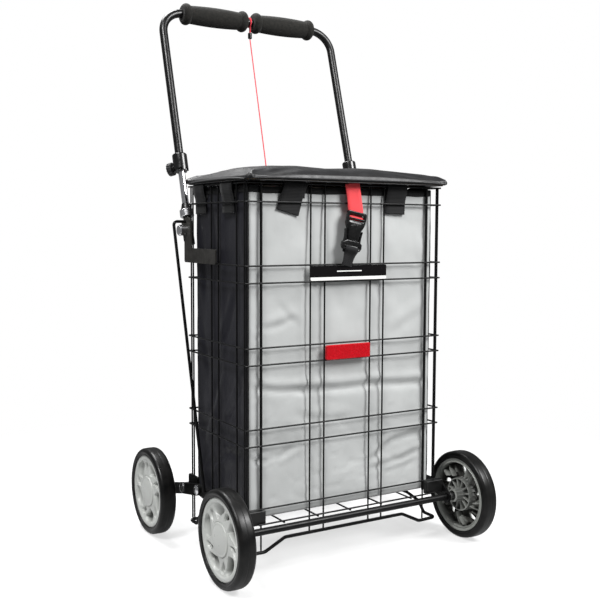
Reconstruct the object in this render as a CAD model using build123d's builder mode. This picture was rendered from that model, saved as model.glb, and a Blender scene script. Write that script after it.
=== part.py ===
"""Four-wheeled wire shopping cart with a padded seat lid and a telescoping handle.

Millimetres. +Z is up and the floor is z = 0. The grey face with the strap looks to -Y and the
handle stands at +Y. The origin is under the middle of the whole cart.
"""
from build123d import *
import math
import os

os.makedirs("parts", exist_ok=True)

# ---- driving dimensions -------------------------------------------------------------------
BASKET_W = 400.0          # between the corner posts
BASKET_D = 223.0          # front wire plane to rear wire plane
FRONT_Y = -144.9          # front wire plane
REAR_Y = FRONT_Y + BASKET_D
RIM_Z = 661.4
BOTTOM_RIM_Z = 112.3
ROWS = 4                  # wide rows of wire between the bottom rim and the top rim
PAIR_GAP = 28.8           # between the two wires of a pair
TOP_PAIR_GAP = 31.2
WIRE_R = 1.5
STOUT_R = 2.5             # the two stout uprights of the front
FOOT_R = 3.0              # wire of the foot frame
WELD = 1.1                # half the distance between two crossing wires' centres
FIT = 0.06                # radial clearance of a running fit

WHEEL_R = 82.0
WHEEL_W = 30.3
WHEEL_X = 251.0           # middle of each wheel
HUB_R = 68.4
AXLE_R = 4.0
AXLE_Z = WHEEL_R
FRONT_AXLE_Y = FRONT_Y - 23.5
REAR_AXLE_Y = FRONT_Y + 293.4
AXLE_HALF = 259.0

RAIL_IN = 210.0           # inner face of the side rails
RAIL_T = 4.0

LEG_X = 193.6             # handle tubes
LEG_BASE_Y = FRONT_Y + 269.8
LEAN = 16.7               # degrees that the handle leans back
LEG_LENGTH = 362.5        # rim level to the middle of the top bar
TUBE_R = 8.0
CHROME_R = 6.35
BEND_R = 45.0

LID_Z = RIM_Z + 4.6       # underside of the lid
LID_EDGE_TOP = 682.0
LID_TOP = 696.0           # crown of the seat
BOARD_T = 6.0
STRAP_W = 30.0            # webbing of the strap
STRAP_T = 1.6
STRAP_Y = FRONT_Y - 7.2   # middle plane of the front strap

LEVELS = [BOTTOM_RIM_Z]
for row in range(1, ROWS + 1):
    upper = BOTTOM_RIM_Z + row * (RIM_Z - BOTTOM_RIM_Z) / ROWS
    LEVELS += [upper, upper - (TOP_PAIR_GAP if row == ROWS else PAIR_GAP)]

HALF_W = BASKET_W / 2
UPRIGHT_XS = [-77.0, -48.1, 48.1, 77.0]
STOUT_X = 173.3
SIDE_X = HALF_W + 3.2     # plane of the sides' level wires
SIDE_UPRIGHT_X = SIDE_X - 2 * WELD
SIDE_UPRIGHT_YS = [FRONT_Y + d for d in (6.8, 35.5, 105.6, 133.1, 211.0)]
FOOT_LOW_Z = 37.0
FOOT_HIGH_Z = 55.5
FOOT_SIDE_Z = 63.0
FOOT_X = HALF_W + 4.5


# ---- helpers --------------------------------------------------------------------------------
def finish(builder, name):
    """Label a finished piece and write it."""
    builder.part.label = name
    export_step(builder.part, f"parts/{name}.step")


def round_bar(points, bends, radius):
    """A round wire, rod or tube along straight runs with bends between them."""
    with BuildPart() as bar:
        with BuildLine() as route:
            if len(points) == 2:
                Line(*points)
            else:
                FilletPolyline(*points, radius=bends)
        with BuildSketch(Plane(origin=route.line @ 0, z_dir=route.line % 0)):
            Circle(radius)
        sweep()
    return bar


def band(stations, half):
    """Corner points of a flat strip of half-width half along the given middle points."""
    left = []
    right = []
    for i, (u, v) in enumerate(stations):
        u0, v0 = stations[max(i - 1, 0)]
        u1, v1 = stations[min(i + 1, len(stations) - 1)]
        run = math.hypot(u1 - u0, v1 - v0)
        across = (-(v1 - v0) / run * half, (u1 - u0) / run * half)
        left.append((u + across[0], v + across[1]))
        right.append((u - across[0], v - across[1]))
    return left + right[::-1]


def leg_point(side, s):
    """A point on a handle leg's axis, s along it from the rim level."""
    tilt = math.radians(LEAN)
    return (side * LEG_X, LEG_BASE_Y + s * math.sin(tilt), RIM_Z + s * math.cos(tilt))


def leg_plane(side, s):
    """The plane square to a handle leg at s, its local y pointing up and to the rear."""
    tilt = math.radians(LEAN)
    return Plane(origin=leg_point(side, s), x_dir=(1, 0, 0), z_dir=(0, math.sin(tilt), math.cos(tilt)))


def wheel_plane(side, axle_y):
    """A plane through a wheel's centre: local x runs outward along the axle, local y is up."""
    return Plane(origin=(side * WHEEL_X, axle_y, AXLE_Z), x_dir=(side, 0, 0), z_dir=(0, -side, 0))


SIDES = {"left": -1, "right": 1}

# ---- basket panels ----------------------------------------------------------------------------
FRONT_WIRE_HALF = HALF_W + 4.5
with BuildPart() as front_panel:
    with BuildSketch(Plane.YZ.offset(-FRONT_WIRE_HALF)):
        with Locations(*[(FRONT_Y - WELD, z) for z in LEVELS]):
            Circle(WIRE_R)
    extrude(amount=2 * FRONT_WIRE_HALF)
    upright_y = FRONT_Y + WELD
    with BuildSketch(Plane.XY.offset(FOOT_HIGH_Z + FOOT_R + 0.1)):
        with Locations(*[(x, upright_y) for x in UPRIGHT_XS]):
            Circle(WIRE_R)
    extrude(amount=RIM_Z + WIRE_R - FOOT_HIGH_Z - FOOT_R - 0.1)
    with BuildSketch(Plane.XY.offset(95.0)):
        with Locations((-HALF_W, upright_y), (HALF_W, upright_y)):
            Circle(WIRE_R)
        with Locations((-STOUT_X, upright_y), (STOUT_X, upright_y)):
            Circle(STOUT_R)
    extrude(amount=RIM_Z + WIRE_R - 95.0)
    with BuildSketch(Plane.XY.offset(FOOT_LOW_Z + FOOT_R + 0.1)):
        with Locations((-STOUT_X, upright_y), (STOUT_X, upright_y)):
            Circle(WIRE_R)
    extrude(amount=95.0 - FOOT_LOW_Z - FOOT_R)
finish(front_panel, "front_panel")

REST_WIRE_Z = 86.5        # rear wire that the bottom panel rests on
with BuildPart() as rear_panel:
    with BuildSketch(Plane.YZ.offset(-HALF_W + 1)):
        with Locations(*[(REAR_Y + WELD, z) for z in LEVELS + [REST_WIRE_Z]]):
            Circle(WIRE_R)
    extrude(amount=BASKET_W - 2)
    upright_y = REAR_Y - WELD
    with BuildSketch(Plane.XY.offset(FOOT_HIGH_Z + FOOT_R + 0.1)):
        with Locations(*[(x, upright_y) for x in UPRIGHT_XS]):
            Circle(WIRE_R)
    extrude(amount=RIM_Z + WIRE_R - FOOT_HIGH_Z - FOOT_R - 0.1)
    with BuildSketch(Plane.XY.offset(FOOT_LOW_Z + FOOT_R + 0.1)):
        with Locations(*[(x, upright_y) for x in (-HALF_W, -STOUT_X, STOUT_X, HALF_W)]):
            Circle(WIRE_R)
    extrude(amount=RIM_Z + WIRE_R - FOOT_LOW_Z - FOOT_R - 0.1)
finish(rear_panel, "rear_panel")

HOOK_Y = REAR_Y + WELD + 3.3
for side_name, side in SIDES.items():
    with BuildPart() as side_panel:
        for z in LEVELS:
            start = (side * SIDE_X, FRONT_Y - WELD + 3.2, z)
            with BuildLine() as level_wire:
                if z == max(LEVELS):
                    Line(start, (side * SIDE_X, HOOK_Y - 2, z))
                else:
                    FilletPolyline(
                        start, (side * SIDE_X, HOOK_Y, z), (side * (HALF_W - 4), HOOK_Y, z), radius=3)
            with BuildSketch(Plane(origin=level_wire.line @ 0, z_dir=(0, 1, 0))):
                Circle(WIRE_R)
            sweep(path=level_wire.line)
        with BuildSketch(Plane.XY.offset(BOTTOM_RIM_Z - WIRE_R)):
            with Locations(*[(side * SIDE_UPRIGHT_X, y) for y in SIDE_UPRIGHT_YS]):
                Circle(WIRE_R)
        extrude(amount=RIM_Z - BOTTOM_RIM_Z + 2 * WIRE_R)
        with BuildSketch(Plane.XY.offset(FOOT_LOW_Z + FOOT_R + 0.1)):
            with Locations((side * SIDE_UPRIGHT_X, SIDE_UPRIGHT_YS[-1])):
                Circle(WIRE_R)
        extrude(amount=BOTTOM_RIM_Z - FOOT_LOW_Z - FOOT_R)
    finish(side_panel, f"{side_name}_side_panel")

# Loose bottom grid: its long wires lie on the front axle tube and on the rear rest wire.
GRID_Z = 89.8
GRID_SHIFT = -4.5
GRID_YS = [FRONT_AXLE_Y + 5, FRONT_Y + 25, FRONT_Y + 84, FRONT_Y + 143, FRONT_Y + 202]
with BuildPart() as bottom_panel:
    with BuildSketch(Plane.XZ.offset(-(FRONT_AXLE_Y + 3))):
        with Locations(*[(GRID_SHIFT + 67.5 * i, GRID_Z) for i in range(-2, 3)]):
            Circle(WIRE_R)
    extrude(amount=-(REAR_Y + 6 - FRONT_AXLE_Y - 3))
    with BuildSketch(Plane.YZ.offset(-188)):
        with Locations(*[(y, GRID_Z + 2 * WELD) for y in GRID_YS]):
            Circle(WIRE_R)
    extrude(amount=376)
finish(bottom_panel, "bottom_panel")

# Foot frame: one wire loop under the basket, low at its four corners.
foot_front_y = FRONT_Y + WELD
foot_rear_y = REAR_Y - WELD
with BuildPart() as foot_frame:
    with BuildLine() as foot_half:
        FilletPolyline(
            (0, foot_front_y, FOOT_HIGH_Z),
            (126, foot_front_y, FOOT_HIGH_Z),
            (166, foot_front_y, FOOT_LOW_Z - 1),
            (FOOT_X, foot_front_y, FOOT_LOW_Z),
            (FOOT_X, foot_front_y + 33, FOOT_LOW_Z),
            (FOOT_X, foot_front_y + 50, FOOT_SIDE_Z - 7),
            (FOOT_X, foot_front_y + 86, FOOT_SIDE_Z),
            (FOOT_X, foot_rear_y - 70, FOOT_SIDE_Z),
            (FOOT_X, foot_rear_y - 42, FOOT_SIDE_Z - 7),
            (FOOT_X, foot_rear_y - 28, FOOT_LOW_Z),
            (FOOT_X, foot_rear_y, FOOT_LOW_Z),
            (166, foot_rear_y, FOOT_LOW_Z - 1),
            (126, foot_rear_y, FOOT_HIGH_Z),
            (0, foot_rear_y, FOOT_HIGH_Z),
            radius=[16, 14, 9, 8, 10, 20, 20, 8, 8, 9, 14, 16])
    with BuildSketch(Plane(origin=foot_half.line @ 0, z_dir=(1, 0, 0))):
        Circle(FOOT_R)
    sweep(path=foot_half.line)
    mirror(about=Plane.YZ)
finish(foot_frame, "foot_frame")

# ---- axles, rails and their fasteners -----------------------------------------------------------
for end_name, axle_y in (("front", FRONT_AXLE_Y), ("rear", REAR_AXLE_Y)):
    with BuildPart() as axle:
        with BuildSketch(Plane(origin=(-AXLE_HALF, axle_y, AXLE_Z), z_dir=(1, 0, 0))):
            Circle(AXLE_R)
        extrude(amount=2 * AXLE_HALF)
        chamfer(axle.faces().filter_by(Axis.X).edges(), 0.8)
    finish(axle, f"{end_name}_axle")
    tube_half = RAIL_IN - 0.1 if end_name == "front" else RAIL_IN + RAIL_T - 0.1
    with BuildPart() as axle_tube:
        with BuildSketch(Plane(origin=(-tube_half, axle_y, AXLE_Z), z_dir=(1, 0, 0))):
            Circle(6.0)
            Circle(AXLE_R + FIT, mode=Mode.SUBTRACT)
        extrude(amount=2 * tube_half)
    finish(axle_tube, f"{end_name}_axle_tube")

BOLT_1 = (FRONT_Y + 231.0, 97.5)
BOLT_2 = (FRONT_Y + 166.0, 110.0)
SHOULDER = (FRONT_Y + 17.0, 97.0)
GUSSET_TOP = 112.5        # the rail rises to this beside the corner post
ROD_FOOT = (FRONT_Y + 133.0, 114.0)
for side_name, side in SIDES.items():
    inner = side * RAIL_IN if side > 0 else -(RAIL_IN + RAIL_T)
    with BuildPart() as side_rail:
        with BuildSketch(Plane.YZ.offset(inner)):
            Polygon(*band([(FRONT_AXLE_Y, AXLE_Z), SHOULDER, BOLT_2, BOLT_1], 10.0), align=None)
            Polygon(
                (SHOULDER[0], SHOULDER[1] + 9.0), (FRONT_Y - 3.0, GUSSET_TOP),
                (FRONT_AXLE_Y - 8.0, AXLE_Z + 8.0), (FRONT_AXLE_Y, AXLE_Z), align=None)
            with Locations((FRONT_AXLE_Y, AXLE_Z)):
                Circle(11.5)
            with Locations(BOLT_1):
                Circle(10.0)
        extrude(amount=RAIL_T)
        with BuildSketch(Plane.YZ.offset(inner)):
            with Locations((FRONT_AXLE_Y, AXLE_Z)):
                Circle(AXLE_R + FIT)
            with Locations(BOLT_1, BOLT_2):
                Circle(3.1)
        extrude(amount=RAIL_T, mode=Mode.SUBTRACT)
    finish(side_rail, f"{side_name}_side_rail")

    outer = side * (RAIL_IN + RAIL_T) if side > 0 else -(RAIL_IN + 2 * RAIL_T)
    with BuildPart() as rear_plate:
        with BuildSketch(Plane.YZ.offset(outer)):
            Polygon(*band([(REAR_AXLE_Y, AXLE_Z), BOLT_1, BOLT_2], 10.5), align=None)
            with Locations((REAR_AXLE_Y, AXLE_Z)):
                Circle(12.5)
            with Locations(BOLT_2):
                Circle(10.5)
        extrude(amount=RAIL_T)
        with BuildSketch(Plane.YZ.offset(outer)):
            with Locations((REAR_AXLE_Y, AXLE_Z)):
                Circle(AXLE_R + FIT)
            with Locations(BOLT_1, BOLT_2):
                Circle(3.1)
        extrude(amount=RAIL_T, mode=Mode.SUBTRACT)
    finish(rear_plate, f"{side_name}_rear_plate")

    # Corner block: clamps the bottom front corner of the basket to the rail.
    block_out = RAIL_IN - 0.1
    block_in = HALF_W - 28.0
    with BuildPart() as corner_block:
        with BuildSketch(Plane.XY.offset(90.0)):
            with Locations((side * (block_in + block_out) / 2, FRONT_Y - 8.8)):
                Rectangle(block_out - block_in, 12.0)
        extrude(amount=23.5)
        fillet(corner_block.edges().filter_by(Axis.Z), 2.0)
        chamfer(corner_block.faces().sort_by(Axis.Z)[-1].edges(), 0.8)
    finish(corner_block, f"{side_name}_corner_block")

# Two spacer clips tie the rails to the side wires beside the rear posts.
with BuildPart() as rail_clips:
    for side in SIDES.values():
        with BuildSketch(Plane.YZ.offset(side * 205.1 if side > 0 else -(RAIL_IN - 0.1))):
            with Locations((FRONT_Y + 199.0, 117.0)):
                RectangleRounded(38.0, 22.0, 4.0)
        extrude(amount=RAIL_IN - 0.1 - 205.1)
finish(rail_clips, "rail_clips")

with BuildPart() as axle_spacers:
    for side in SIDES.values():
        start = side * (RAIL_IN + RAIL_T + 0.1) if side > 0 else -(RAIL_IN + 2 * RAIL_T)
        with BuildSketch(Plane(origin=(start, FRONT_AXLE_Y, AXLE_Z), z_dir=(1, 0, 0))):
            Circle(8.5)
            Circle(AXLE_R + FIT, mode=Mode.SUBTRACT)
        extrude(amount=RAIL_T - 0.1)
finish(axle_spacers, "axle_spacers")

# ---- wheels --------------------------------------------------------------------------------------
TYRE_HALF = WHEEL_W / 2
SHOULDER_R = 8.0
RIM_HALF = 12.5
BOSS_IN = -(WHEEL_X - RAIL_IN - 2 * RAIL_T - 0.4)
SPOKES = 5
POCKET_ANGLE = 8.0        # first pocket and first slot of a hub, from straight back or front
SLOT_ANGLE = 43.0
SWIRL_TILT = -23.0        # pockets and slots lean from the radius
ROLLED = {"front_left": 0, "front_right": 44, "rear_left": 36, "rear_right": 12}
for end_name, axle_y in (("front", FRONT_AXLE_Y), ("rear", REAR_AXLE_Y)):
    for side_name, side in SIDES.items():
        place = wheel_plane(side, axle_y)
        rolled = (0 if side < 0 else 180) - ROLLED[f"{end_name}_{side_name}"]
        spin_axis = Axis(place.origin, (1, 0, 0))
        with BuildPart() as tyre:
            with BuildSketch(place):
                with BuildLine():
                    low = HUB_R + 0.05
                    wall = WHEEL_R - SHOULDER_R
                    flat = TYRE_HALF - SHOULDER_R
                    Polyline(
                        (-TYRE_HALF, wall), (-TYRE_HALF + 0.6, low),
                        (TYRE_HALF - 0.6, low), (TYRE_HALF, wall))
                    CenterArc((flat, wall), SHOULDER_R, 0, 90)
                    Line((flat, WHEEL_R), (-flat, WHEEL_R))
                    CenterArc((-flat, wall), SHOULDER_R, 90, 90)
                make_face()
            revolve(axis=spin_axis)
        finish(tyre, f"{end_name}_{side_name}_tyre")

        with BuildPart() as hub:
            with BuildSketch(place):
                with BuildLine():
                    Polyline(
                        (BOSS_IN, AXLE_R + FIT), (9.0, AXLE_R + FIT), (9.0, 28.9), (11.5, 28.9),
                        (11.5, 32.0), (9.5, 36.0), (9.5, 56.0), (RIM_HALF, 60.5), (RIM_HALF, HUB_R),
                        (-RIM_HALF, HUB_R), (-RIM_HALF, 63.0), (0.0, 58.0), (0.0, 30.0),
                        (-12.0, 28.5), (-12.0, 25.5), (2.0, 25.5), (2.0, 14.0), (-14.0, 13.0),
                        (BOSS_IN, 9.0), close=True)
                make_face()
            revolve(axis=spin_axis)
            face_plane = Plane(origin=place.origin, x_dir=(0, 1, 0), z_dir=(side, 0, 0))
            with BuildSketch(face_plane.offset(2.2)):
                with PolarLocations(47.0, SPOKES, start_angle=rolled - POCKET_ANGLE):
                    SlotOverall(24.0, 18.0, rotation=SWIRL_TILT)
            extrude(amount=12.0, mode=Mode.SUBTRACT)
            with BuildSketch(face_plane.offset(-2.0)):
                with PolarLocations(45.0, SPOKES, start_angle=rolled - SLOT_ANGLE):
                    SlotOverall(15.0, 6.5, rotation=SWIRL_TILT)
            extrude(amount=14.0, mode=Mode.SUBTRACT)
        finish(hub, f"{end_name}_{side_name}_hub")

        with BuildPart() as hub_cap:
            with BuildSketch(place):
                with BuildLine():
                    Polyline((14.8, 6.0), (14.8, 0.0), (9.1, 0.0), (9.1, 28.8), (12.0, 28.8))
                    ThreePointArc((12.0, 28.8), (14.0, 18.0), (14.8, 6.0))
                make_face()
            revolve(axis=spin_axis)
        finish(hub_cap, f"{end_name}_{side_name}_hub_cap")

# ---- handle brackets, chrome tubes and stays -----------------------------------------------------
BRACKET_IN = 205.1
BRACKET_T = 3.0
SOCKET_LOW = -110.0
SOCKET_TOP = -43.0
STUB_Y = FRONT_Y + 229.0
STUB_Z = 598.0
KNUCKLE = (FRONT_Y + 231.0, 582.0)
for side_name, side in SIDES.items():
    with BuildPart() as bracket:
        with BuildSketch(Plane.YZ.offset(BRACKET_IN if side > 0 else -(BRACKET_IN + BRACKET_T))):
            with BuildLine() as bracket_edge:
                FilletPolyline(
                    (FRONT_Y + 103.5, 523.0), (FRONT_Y + 235.0, 523.0), (FRONT_Y + 235.0, 606.0),
                    (FRONT_Y + 210.0, 606.0), (FRONT_Y + 206.0, 549.5), (FRONT_Y + 103.5, 549.5),
                    radius=[3, 4, 8, 14, 2, 2], close=True)
            make_face()
        extrude(amount=BRACKET_T)
        with BuildSketch(leg_plane(side, SOCKET_LOW)):
            Circle(TUBE_R)
        extrude(amount=SOCKET_TOP - SOCKET_LOW)
        with BuildSketch(Plane.YZ.offset(198.0 if side > 0 else -(BRACKET_IN + 1.0))):
            Polygon(
                (FRONT_Y + 232, 556), (FRONT_Y + 242, 562),
                (FRONT_Y + 254, 600), (FRONT_Y + 232, 600), align=None)
        extrude(amount=BRACKET_IN + 1.0 - 198.0)
        with BuildSketch(leg_plane(side, SOCKET_LOW - 5)):
            Circle(CHROME_R + FIT)
        extrude(amount=SOCKET_TOP - SOCKET_LOW + 10, mode=Mode.SUBTRACT)
        with BuildSketch(Plane.YZ.offset(side * (BRACKET_IN - 1) if side > 0 else -(BRACKET_IN + 4))):
            with Locations((STUB_Y, STUB_Z)):
                Circle(2.9)
            with Locations(KNUCKLE):
                Circle(3.1)
        extrude(amount=5.0, mode=Mode.SUBTRACT)
    finish(bracket, f"{side_name}_handle_bracket")

    with BuildPart() as inner_tube:
        with BuildSketch(leg_plane(side, SOCKET_LOW)):
            Circle(CHROME_R)
            Circle(CHROME_R - 1.2, mode=Mode.SUBTRACT)
        extrude(amount=200.0 - SOCKET_LOW)
    finish(inner_tube, f"{side_name}_inner_tube")

    stub = [
        (side * (BRACKET_IN + 0.3), STUB_Y, STUB_Z), (side * 232.0, STUB_Y, STUB_Z),
        (side * 217.3, ROD_FOOT[0], ROD_FOOT[1])]
    stay_rod = round_bar(stub, [7.0], 2.8)
    finish(stay_rod, f"{side_name}_stay_rod")

with BuildPart() as tube_rings:
    for side in SIDES.values():
        with BuildSketch(leg_plane(side, -57.0)):
            Circle(13.0)
            Circle(TUBE_R + 0.05, mode=Mode.SUBTRACT)
        extrude(amount=14.0)
    chamfer(tube_rings.edges().filter_by(GeomType.CIRCLE), 0.9)
finish(tube_rings, "tube_rings")

with BuildPart() as tube_bushes:
    for side in SIDES.values():
        with BuildSketch(leg_plane(side, -42.9)):
            Circle(10.5)
        with BuildSketch(leg_plane(side, -31.0)):
            Circle(7.4)
        loft()
        with BuildSketch(leg_plane(side, -45.0)):
            Circle(CHROME_R + FIT)
        extrude(amount=16.0, mode=Mode.SUBTRACT)
finish(tube_bushes, "tube_bushes")

# Dome-headed bolts of the rails, and the plain round bolt of each bracket.
with BuildPart() as frame_bolts:
    for side in SIDES.values():
        for bolt_y, bolt_z in (BOLT_1, BOLT_2):
            head = (side * (RAIL_IN + 2 * RAIL_T + 0.05), bolt_y, bolt_z)
            with BuildSketch(Plane(origin=head, x_dir=(side, 0, 0), z_dir=(0, -side, 0))):
                with BuildLine():
                    Polyline(
                        (3.5, 2.0), (3.5, 0.0), (-8.4, 0.0), (-8.4, 3.0), (0.0, 3.0),
                        (0.0, 9.2), (0.8, 9.2))
                    ThreePointArc((0.8, 9.2), (2.8, 5.8), (3.5, 2.0))
                make_face()
            revolve(axis=Axis((0, bolt_y, bolt_z), (1, 0, 0)))
        knuckle_x = side * (BRACKET_IN + BRACKET_T + 0.05)
        with BuildSketch(Plane(origin=(knuckle_x, *KNUCKLE), x_dir=(side, 0, 0), z_dir=(0, -side, 0))):
            with BuildLine():
                Polyline(
                    (-3.0, 0.0), (-3.0, 3.0), (0.0, 3.0), (0.0, 9.5),
                    (11.0, 10.5), (13.5, 8.5), (13.5, 0.0), close=True)
            make_face()
        revolve(axis=Axis((0, *KNUCKLE), (1, 0, 0)))
finish(frame_bolts, "frame_bolts")

# ---- handle --------------------------------------------------------------------------------------
COLLAR_LOW = 33.0
COLLAR_TOP = 67.0
TUBE_END = 47.0           # lower end of the black tube, inside the collar
with BuildPart() as handle_tube:
    with BuildLine() as handle_route:
        FilletPolyline(
            leg_point(-1, TUBE_END), leg_point(-1, LEG_LENGTH),
            leg_point(1, LEG_LENGTH), leg_point(1, TUBE_END),
            radius=[BEND_R, BEND_R])
    with BuildSketch(leg_plane(-1, TUBE_END)):
        Circle(TUBE_R)
    sweep(path=handle_route.line)
    for side in SIDES.values():
        with BuildSketch(leg_plane(side, TUBE_END - 1)):
            Circle(CHROME_R + FIT)
        extrude(amount=310.0 - TUBE_END, mode=Mode.SUBTRACT)
finish(handle_tube, "handle_tube")

GRIP_START = 7.5
GRIP_LENGTH = 142.0
GRIP_END_R = 21.0
bar_y, bar_z = leg_point(1, LEG_LENGTH)[1:]
for side_name, side in SIDES.items():
    with BuildPart() as grip:
        grip_start = (side * GRIP_START, bar_y, bar_z)
        with BuildSketch(Plane(origin=grip_start, x_dir=(side, 0, 0), z_dir=(0, -side, 0))):
            with BuildLine():
                bore = TUBE_R + 0.05
                Line((0.0, bore), (0.0, 15.0))
                ThreePointArc((0.0, 15.0), (7.5, GRIP_END_R), (16.0, 17.3))
                ThreePointArc((16.0, 17.3), (GRIP_LENGTH / 2, 19.4), (GRIP_LENGTH - 16.0, 17.3))
                ThreePointArc(
                    (GRIP_LENGTH - 16.0, 17.3), (GRIP_LENGTH - 7.5, GRIP_END_R), (GRIP_LENGTH, 15.0))
                Polyline((GRIP_LENGTH, 15.0), (GRIP_LENGTH, bore), (0.0, bore))
            make_face()
        revolve(axis=Axis((0, bar_y, bar_z), (1, 0, 0)))
    finish(grip, f"{side_name}_grip")

KNOB_S = 42.0
KNOB_TURN = 52.0          # degrees from straight out to straight back
for side_name, side in SIDES.items():
    turn = math.radians(KNOB_TURN)
    tilt = math.radians(LEAN)
    back = math.sin(turn)
    knob_dir = Vector(side * math.cos(turn), back * math.cos(tilt), -back * math.sin(tilt))
    leg_up = Vector(0, math.sin(tilt), math.cos(tilt))
    knob_plane = Plane(origin=leg_point(side, KNOB_S), x_dir=leg_up, z_dir=knob_dir)
    with BuildPart() as collar:
        with BuildSketch(leg_plane(side, COLLAR_LOW)):
            Circle(14.0)
        extrude(amount=COLLAR_TOP - COLLAR_LOW)
        fillet(collar.faces().sort_by(Axis.Z)[-1].edges(), 3.0)
        with BuildSketch(knob_plane.offset(8.0)):
            Circle(6.5)
        extrude(amount=8.0)
        with BuildSketch(leg_plane(side, COLLAR_LOW - 3.0)):
            with PolarLocations(13.5, 6):
                Circle(3.4)
        extrude(amount=6.5, mode=Mode.SUBTRACT)
        with BuildSketch(leg_plane(side, COLLAR_LOW - 1.0)):
            Circle(CHROME_R + FIT + 0.05)
        extrude(amount=COLLAR_TOP, mode=Mode.SUBTRACT)
        with BuildSketch(leg_plane(side, TUBE_END - 0.1)):
            Circle(TUBE_R + 0.05)
        extrude(amount=COLLAR_TOP, mode=Mode.SUBTRACT)
        with BuildSketch(knob_plane.offset(9.2)):
            Circle(2.55)
        extrude(amount=10.0, mode=Mode.SUBTRACT)
    finish(collar, f"{side_name}_collar")

    with BuildPart() as knob:
        with BuildSketch(knob_plane.offset(16.4)):
            Circle(12.5)
            with PolarLocations(13.4, 14):
                Circle(1.8, mode=Mode.SUBTRACT)
        extrude(amount=9.0)
        with BuildSketch(knob_plane.offset(10.0)):
            Circle(2.5)
        extrude(amount=7.0)
    finish(knob, f"{side_name}_clamp_knob")

# ---- lid and seat --------------------------------------------------------------------------------
LID_FRONT = FRONT_Y - 22.0
LID_REAR = FRONT_Y + 235.0
LID_HALF = HALF_W + 9.5
LID_MID = (LID_FRONT + LID_REAR) / 2
LID_DEPTH = LID_REAR - LID_FRONT
BOARD_INSET = 6.0
with BuildPart() as lid_board:
    with BuildSketch(Plane.XY.offset(LID_Z)):
        with Locations((0, LID_MID)):
            RectangleRounded(2 * (LID_HALF - BOARD_INSET), LID_DEPTH - 2 * BOARD_INSET, 8.0)
    extrude(amount=BOARD_T)
finish(lid_board, "lid_board")

with BuildPart() as seat_cushion:
    with BuildSketch(Plane.XY.offset(LID_Z - 0.4)):
        with Locations((0, LID_MID)):
            RectangleRounded(2 * LID_HALF, LID_DEPTH, 12.0)
    extrude(amount=LID_EDGE_TOP - LID_Z + 0.4)
    fillet(seat_cushion.faces().sort_by(Axis.Z)[-1].edges(), 7.0)
    with BuildSketch(Plane.XY.offset(LID_EDGE_TOP)):
        with Locations((0, LID_MID)):
            RectangleRounded(2 * LID_HALF - 15, LID_DEPTH - 15, 10.0)
    extrude(amount=LID_TOP - LID_EDGE_TOP, taper=60)
    with BuildSketch(Plane.XY.offset(LID_Z - 1)):
        with Locations((0, LID_MID)):
            RectangleRounded(2 * (LID_HALF - BOARD_INSET) + 0.6, LID_DEPTH - 2 * BOARD_INSET + 0.6, 8.2)
    extrude(amount=BOARD_T + 1.2, mode=Mode.SUBTRACT)
finish(seat_cushion, "seat_cushion")

HINGE_Y = REAR_Y + WELD
HINGE_Z = RIM_Z
with BuildPart() as lid_hinge_clips:
    for clip_x in (-150.0, 150.0):
        with BuildSketch(Plane.YZ.offset(clip_x - 15)):
            with Locations((HINGE_Y, HINGE_Z)):
                Circle(3.8)
            with Locations((HINGE_Y - 20, LID_Z - 0.85)):
                Rectangle(40, 1.5)
            with Locations((HINGE_Y, HINGE_Z)):
                Circle(WIRE_R + FIT, mode=Mode.SUBTRACT)
        extrude(amount=30)
finish(lid_hinge_clips, "lid_hinge_clips")

# ---- front strap and buckle ----------------------------------------------------------------------
# The buckle leans in the plane of the front. Its own u runs across it and its v up along it.
BUCKLE_LEAN = 11.5
BUCKLE_X = 4.5
BUCKLE_Y = STRAP_Y - 1.8
BUCKLE_Z = 580.5
BUCKLE_T = 12.0
SOCKET_V0 = -14.5
SOCKET_V1 = 35.5
PLUG_V0 = -33.0
PLUG_V1 = SOCKET_V0 - 0.6
STRAP_TOP_X = 2.5
LEAN_SIN = math.sin(math.radians(BUCKLE_LEAN))
LEAN_COS = math.cos(math.radians(BUCKLE_LEAN))


def buckle_front(thickness):
    """The rear face of a slab of this thickness, centred in the buckle and parallel to the front."""
    origin = (BUCKLE_X, BUCKLE_Y + thickness / 2, BUCKLE_Z)
    return Plane(origin=origin, x_dir=(LEAN_COS, 0, -LEAN_SIN), z_dir=(0, -1, 0))


def buckle_xz(u, v):
    """World x and z of a point of the buckle."""
    return (BUCKLE_X + u * LEAN_COS + v * LEAN_SIN, BUCKLE_Z - u * LEAN_SIN + v * LEAN_COS)


with BuildPart() as lid_strap:
    strap_top = LID_Z - 0.3
    with BuildSketch(Plane.XZ.offset(-(STRAP_Y + STRAP_T / 2))):
        Polygon(
            (STRAP_TOP_X - STRAP_W / 2, strap_top), (STRAP_TOP_X + STRAP_W / 2, strap_top),
            buckle_xz(STRAP_W / 2, SOCKET_V1 + 0.2), buckle_xz(-STRAP_W / 2, SOCKET_V1 + 0.2), align=None)
    extrude(amount=STRAP_T)
finish(lid_strap, "lid_strap")

with BuildPart() as buckle_socket:
    with BuildSketch(buckle_front(BUCKLE_T)):
        with BuildLine():
            Polyline(
                (-20, SOCKET_V1), (20, SOCKET_V1), (20, 20), (19, 14), (14.8, 4),
                (11.3, SOCKET_V0), (-11.3, SOCKET_V0), (-14.8, 4), (-19, 14), (-20, 20), close=True)
        make_face()
        with Locations((0, 31), (0, 23)):
            Rectangle(STRAP_W + 1, 3.5, mode=Mode.SUBTRACT)
    extrude(amount=BUCKLE_T)
    mouth_x, mouth_z = buckle_xz(0, SOCKET_V0 - 1)
    mouth = (mouth_x, BUCKLE_Y, mouth_z)
    with BuildSketch(Plane(origin=mouth, x_dir=(0, 1, 0), z_dir=(LEAN_SIN, 0, LEAN_COS))):
        Rectangle(7.6, 13)
    extrude(amount=16, mode=Mode.SUBTRACT)
finish(buckle_socket, "buckle_socket")

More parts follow.
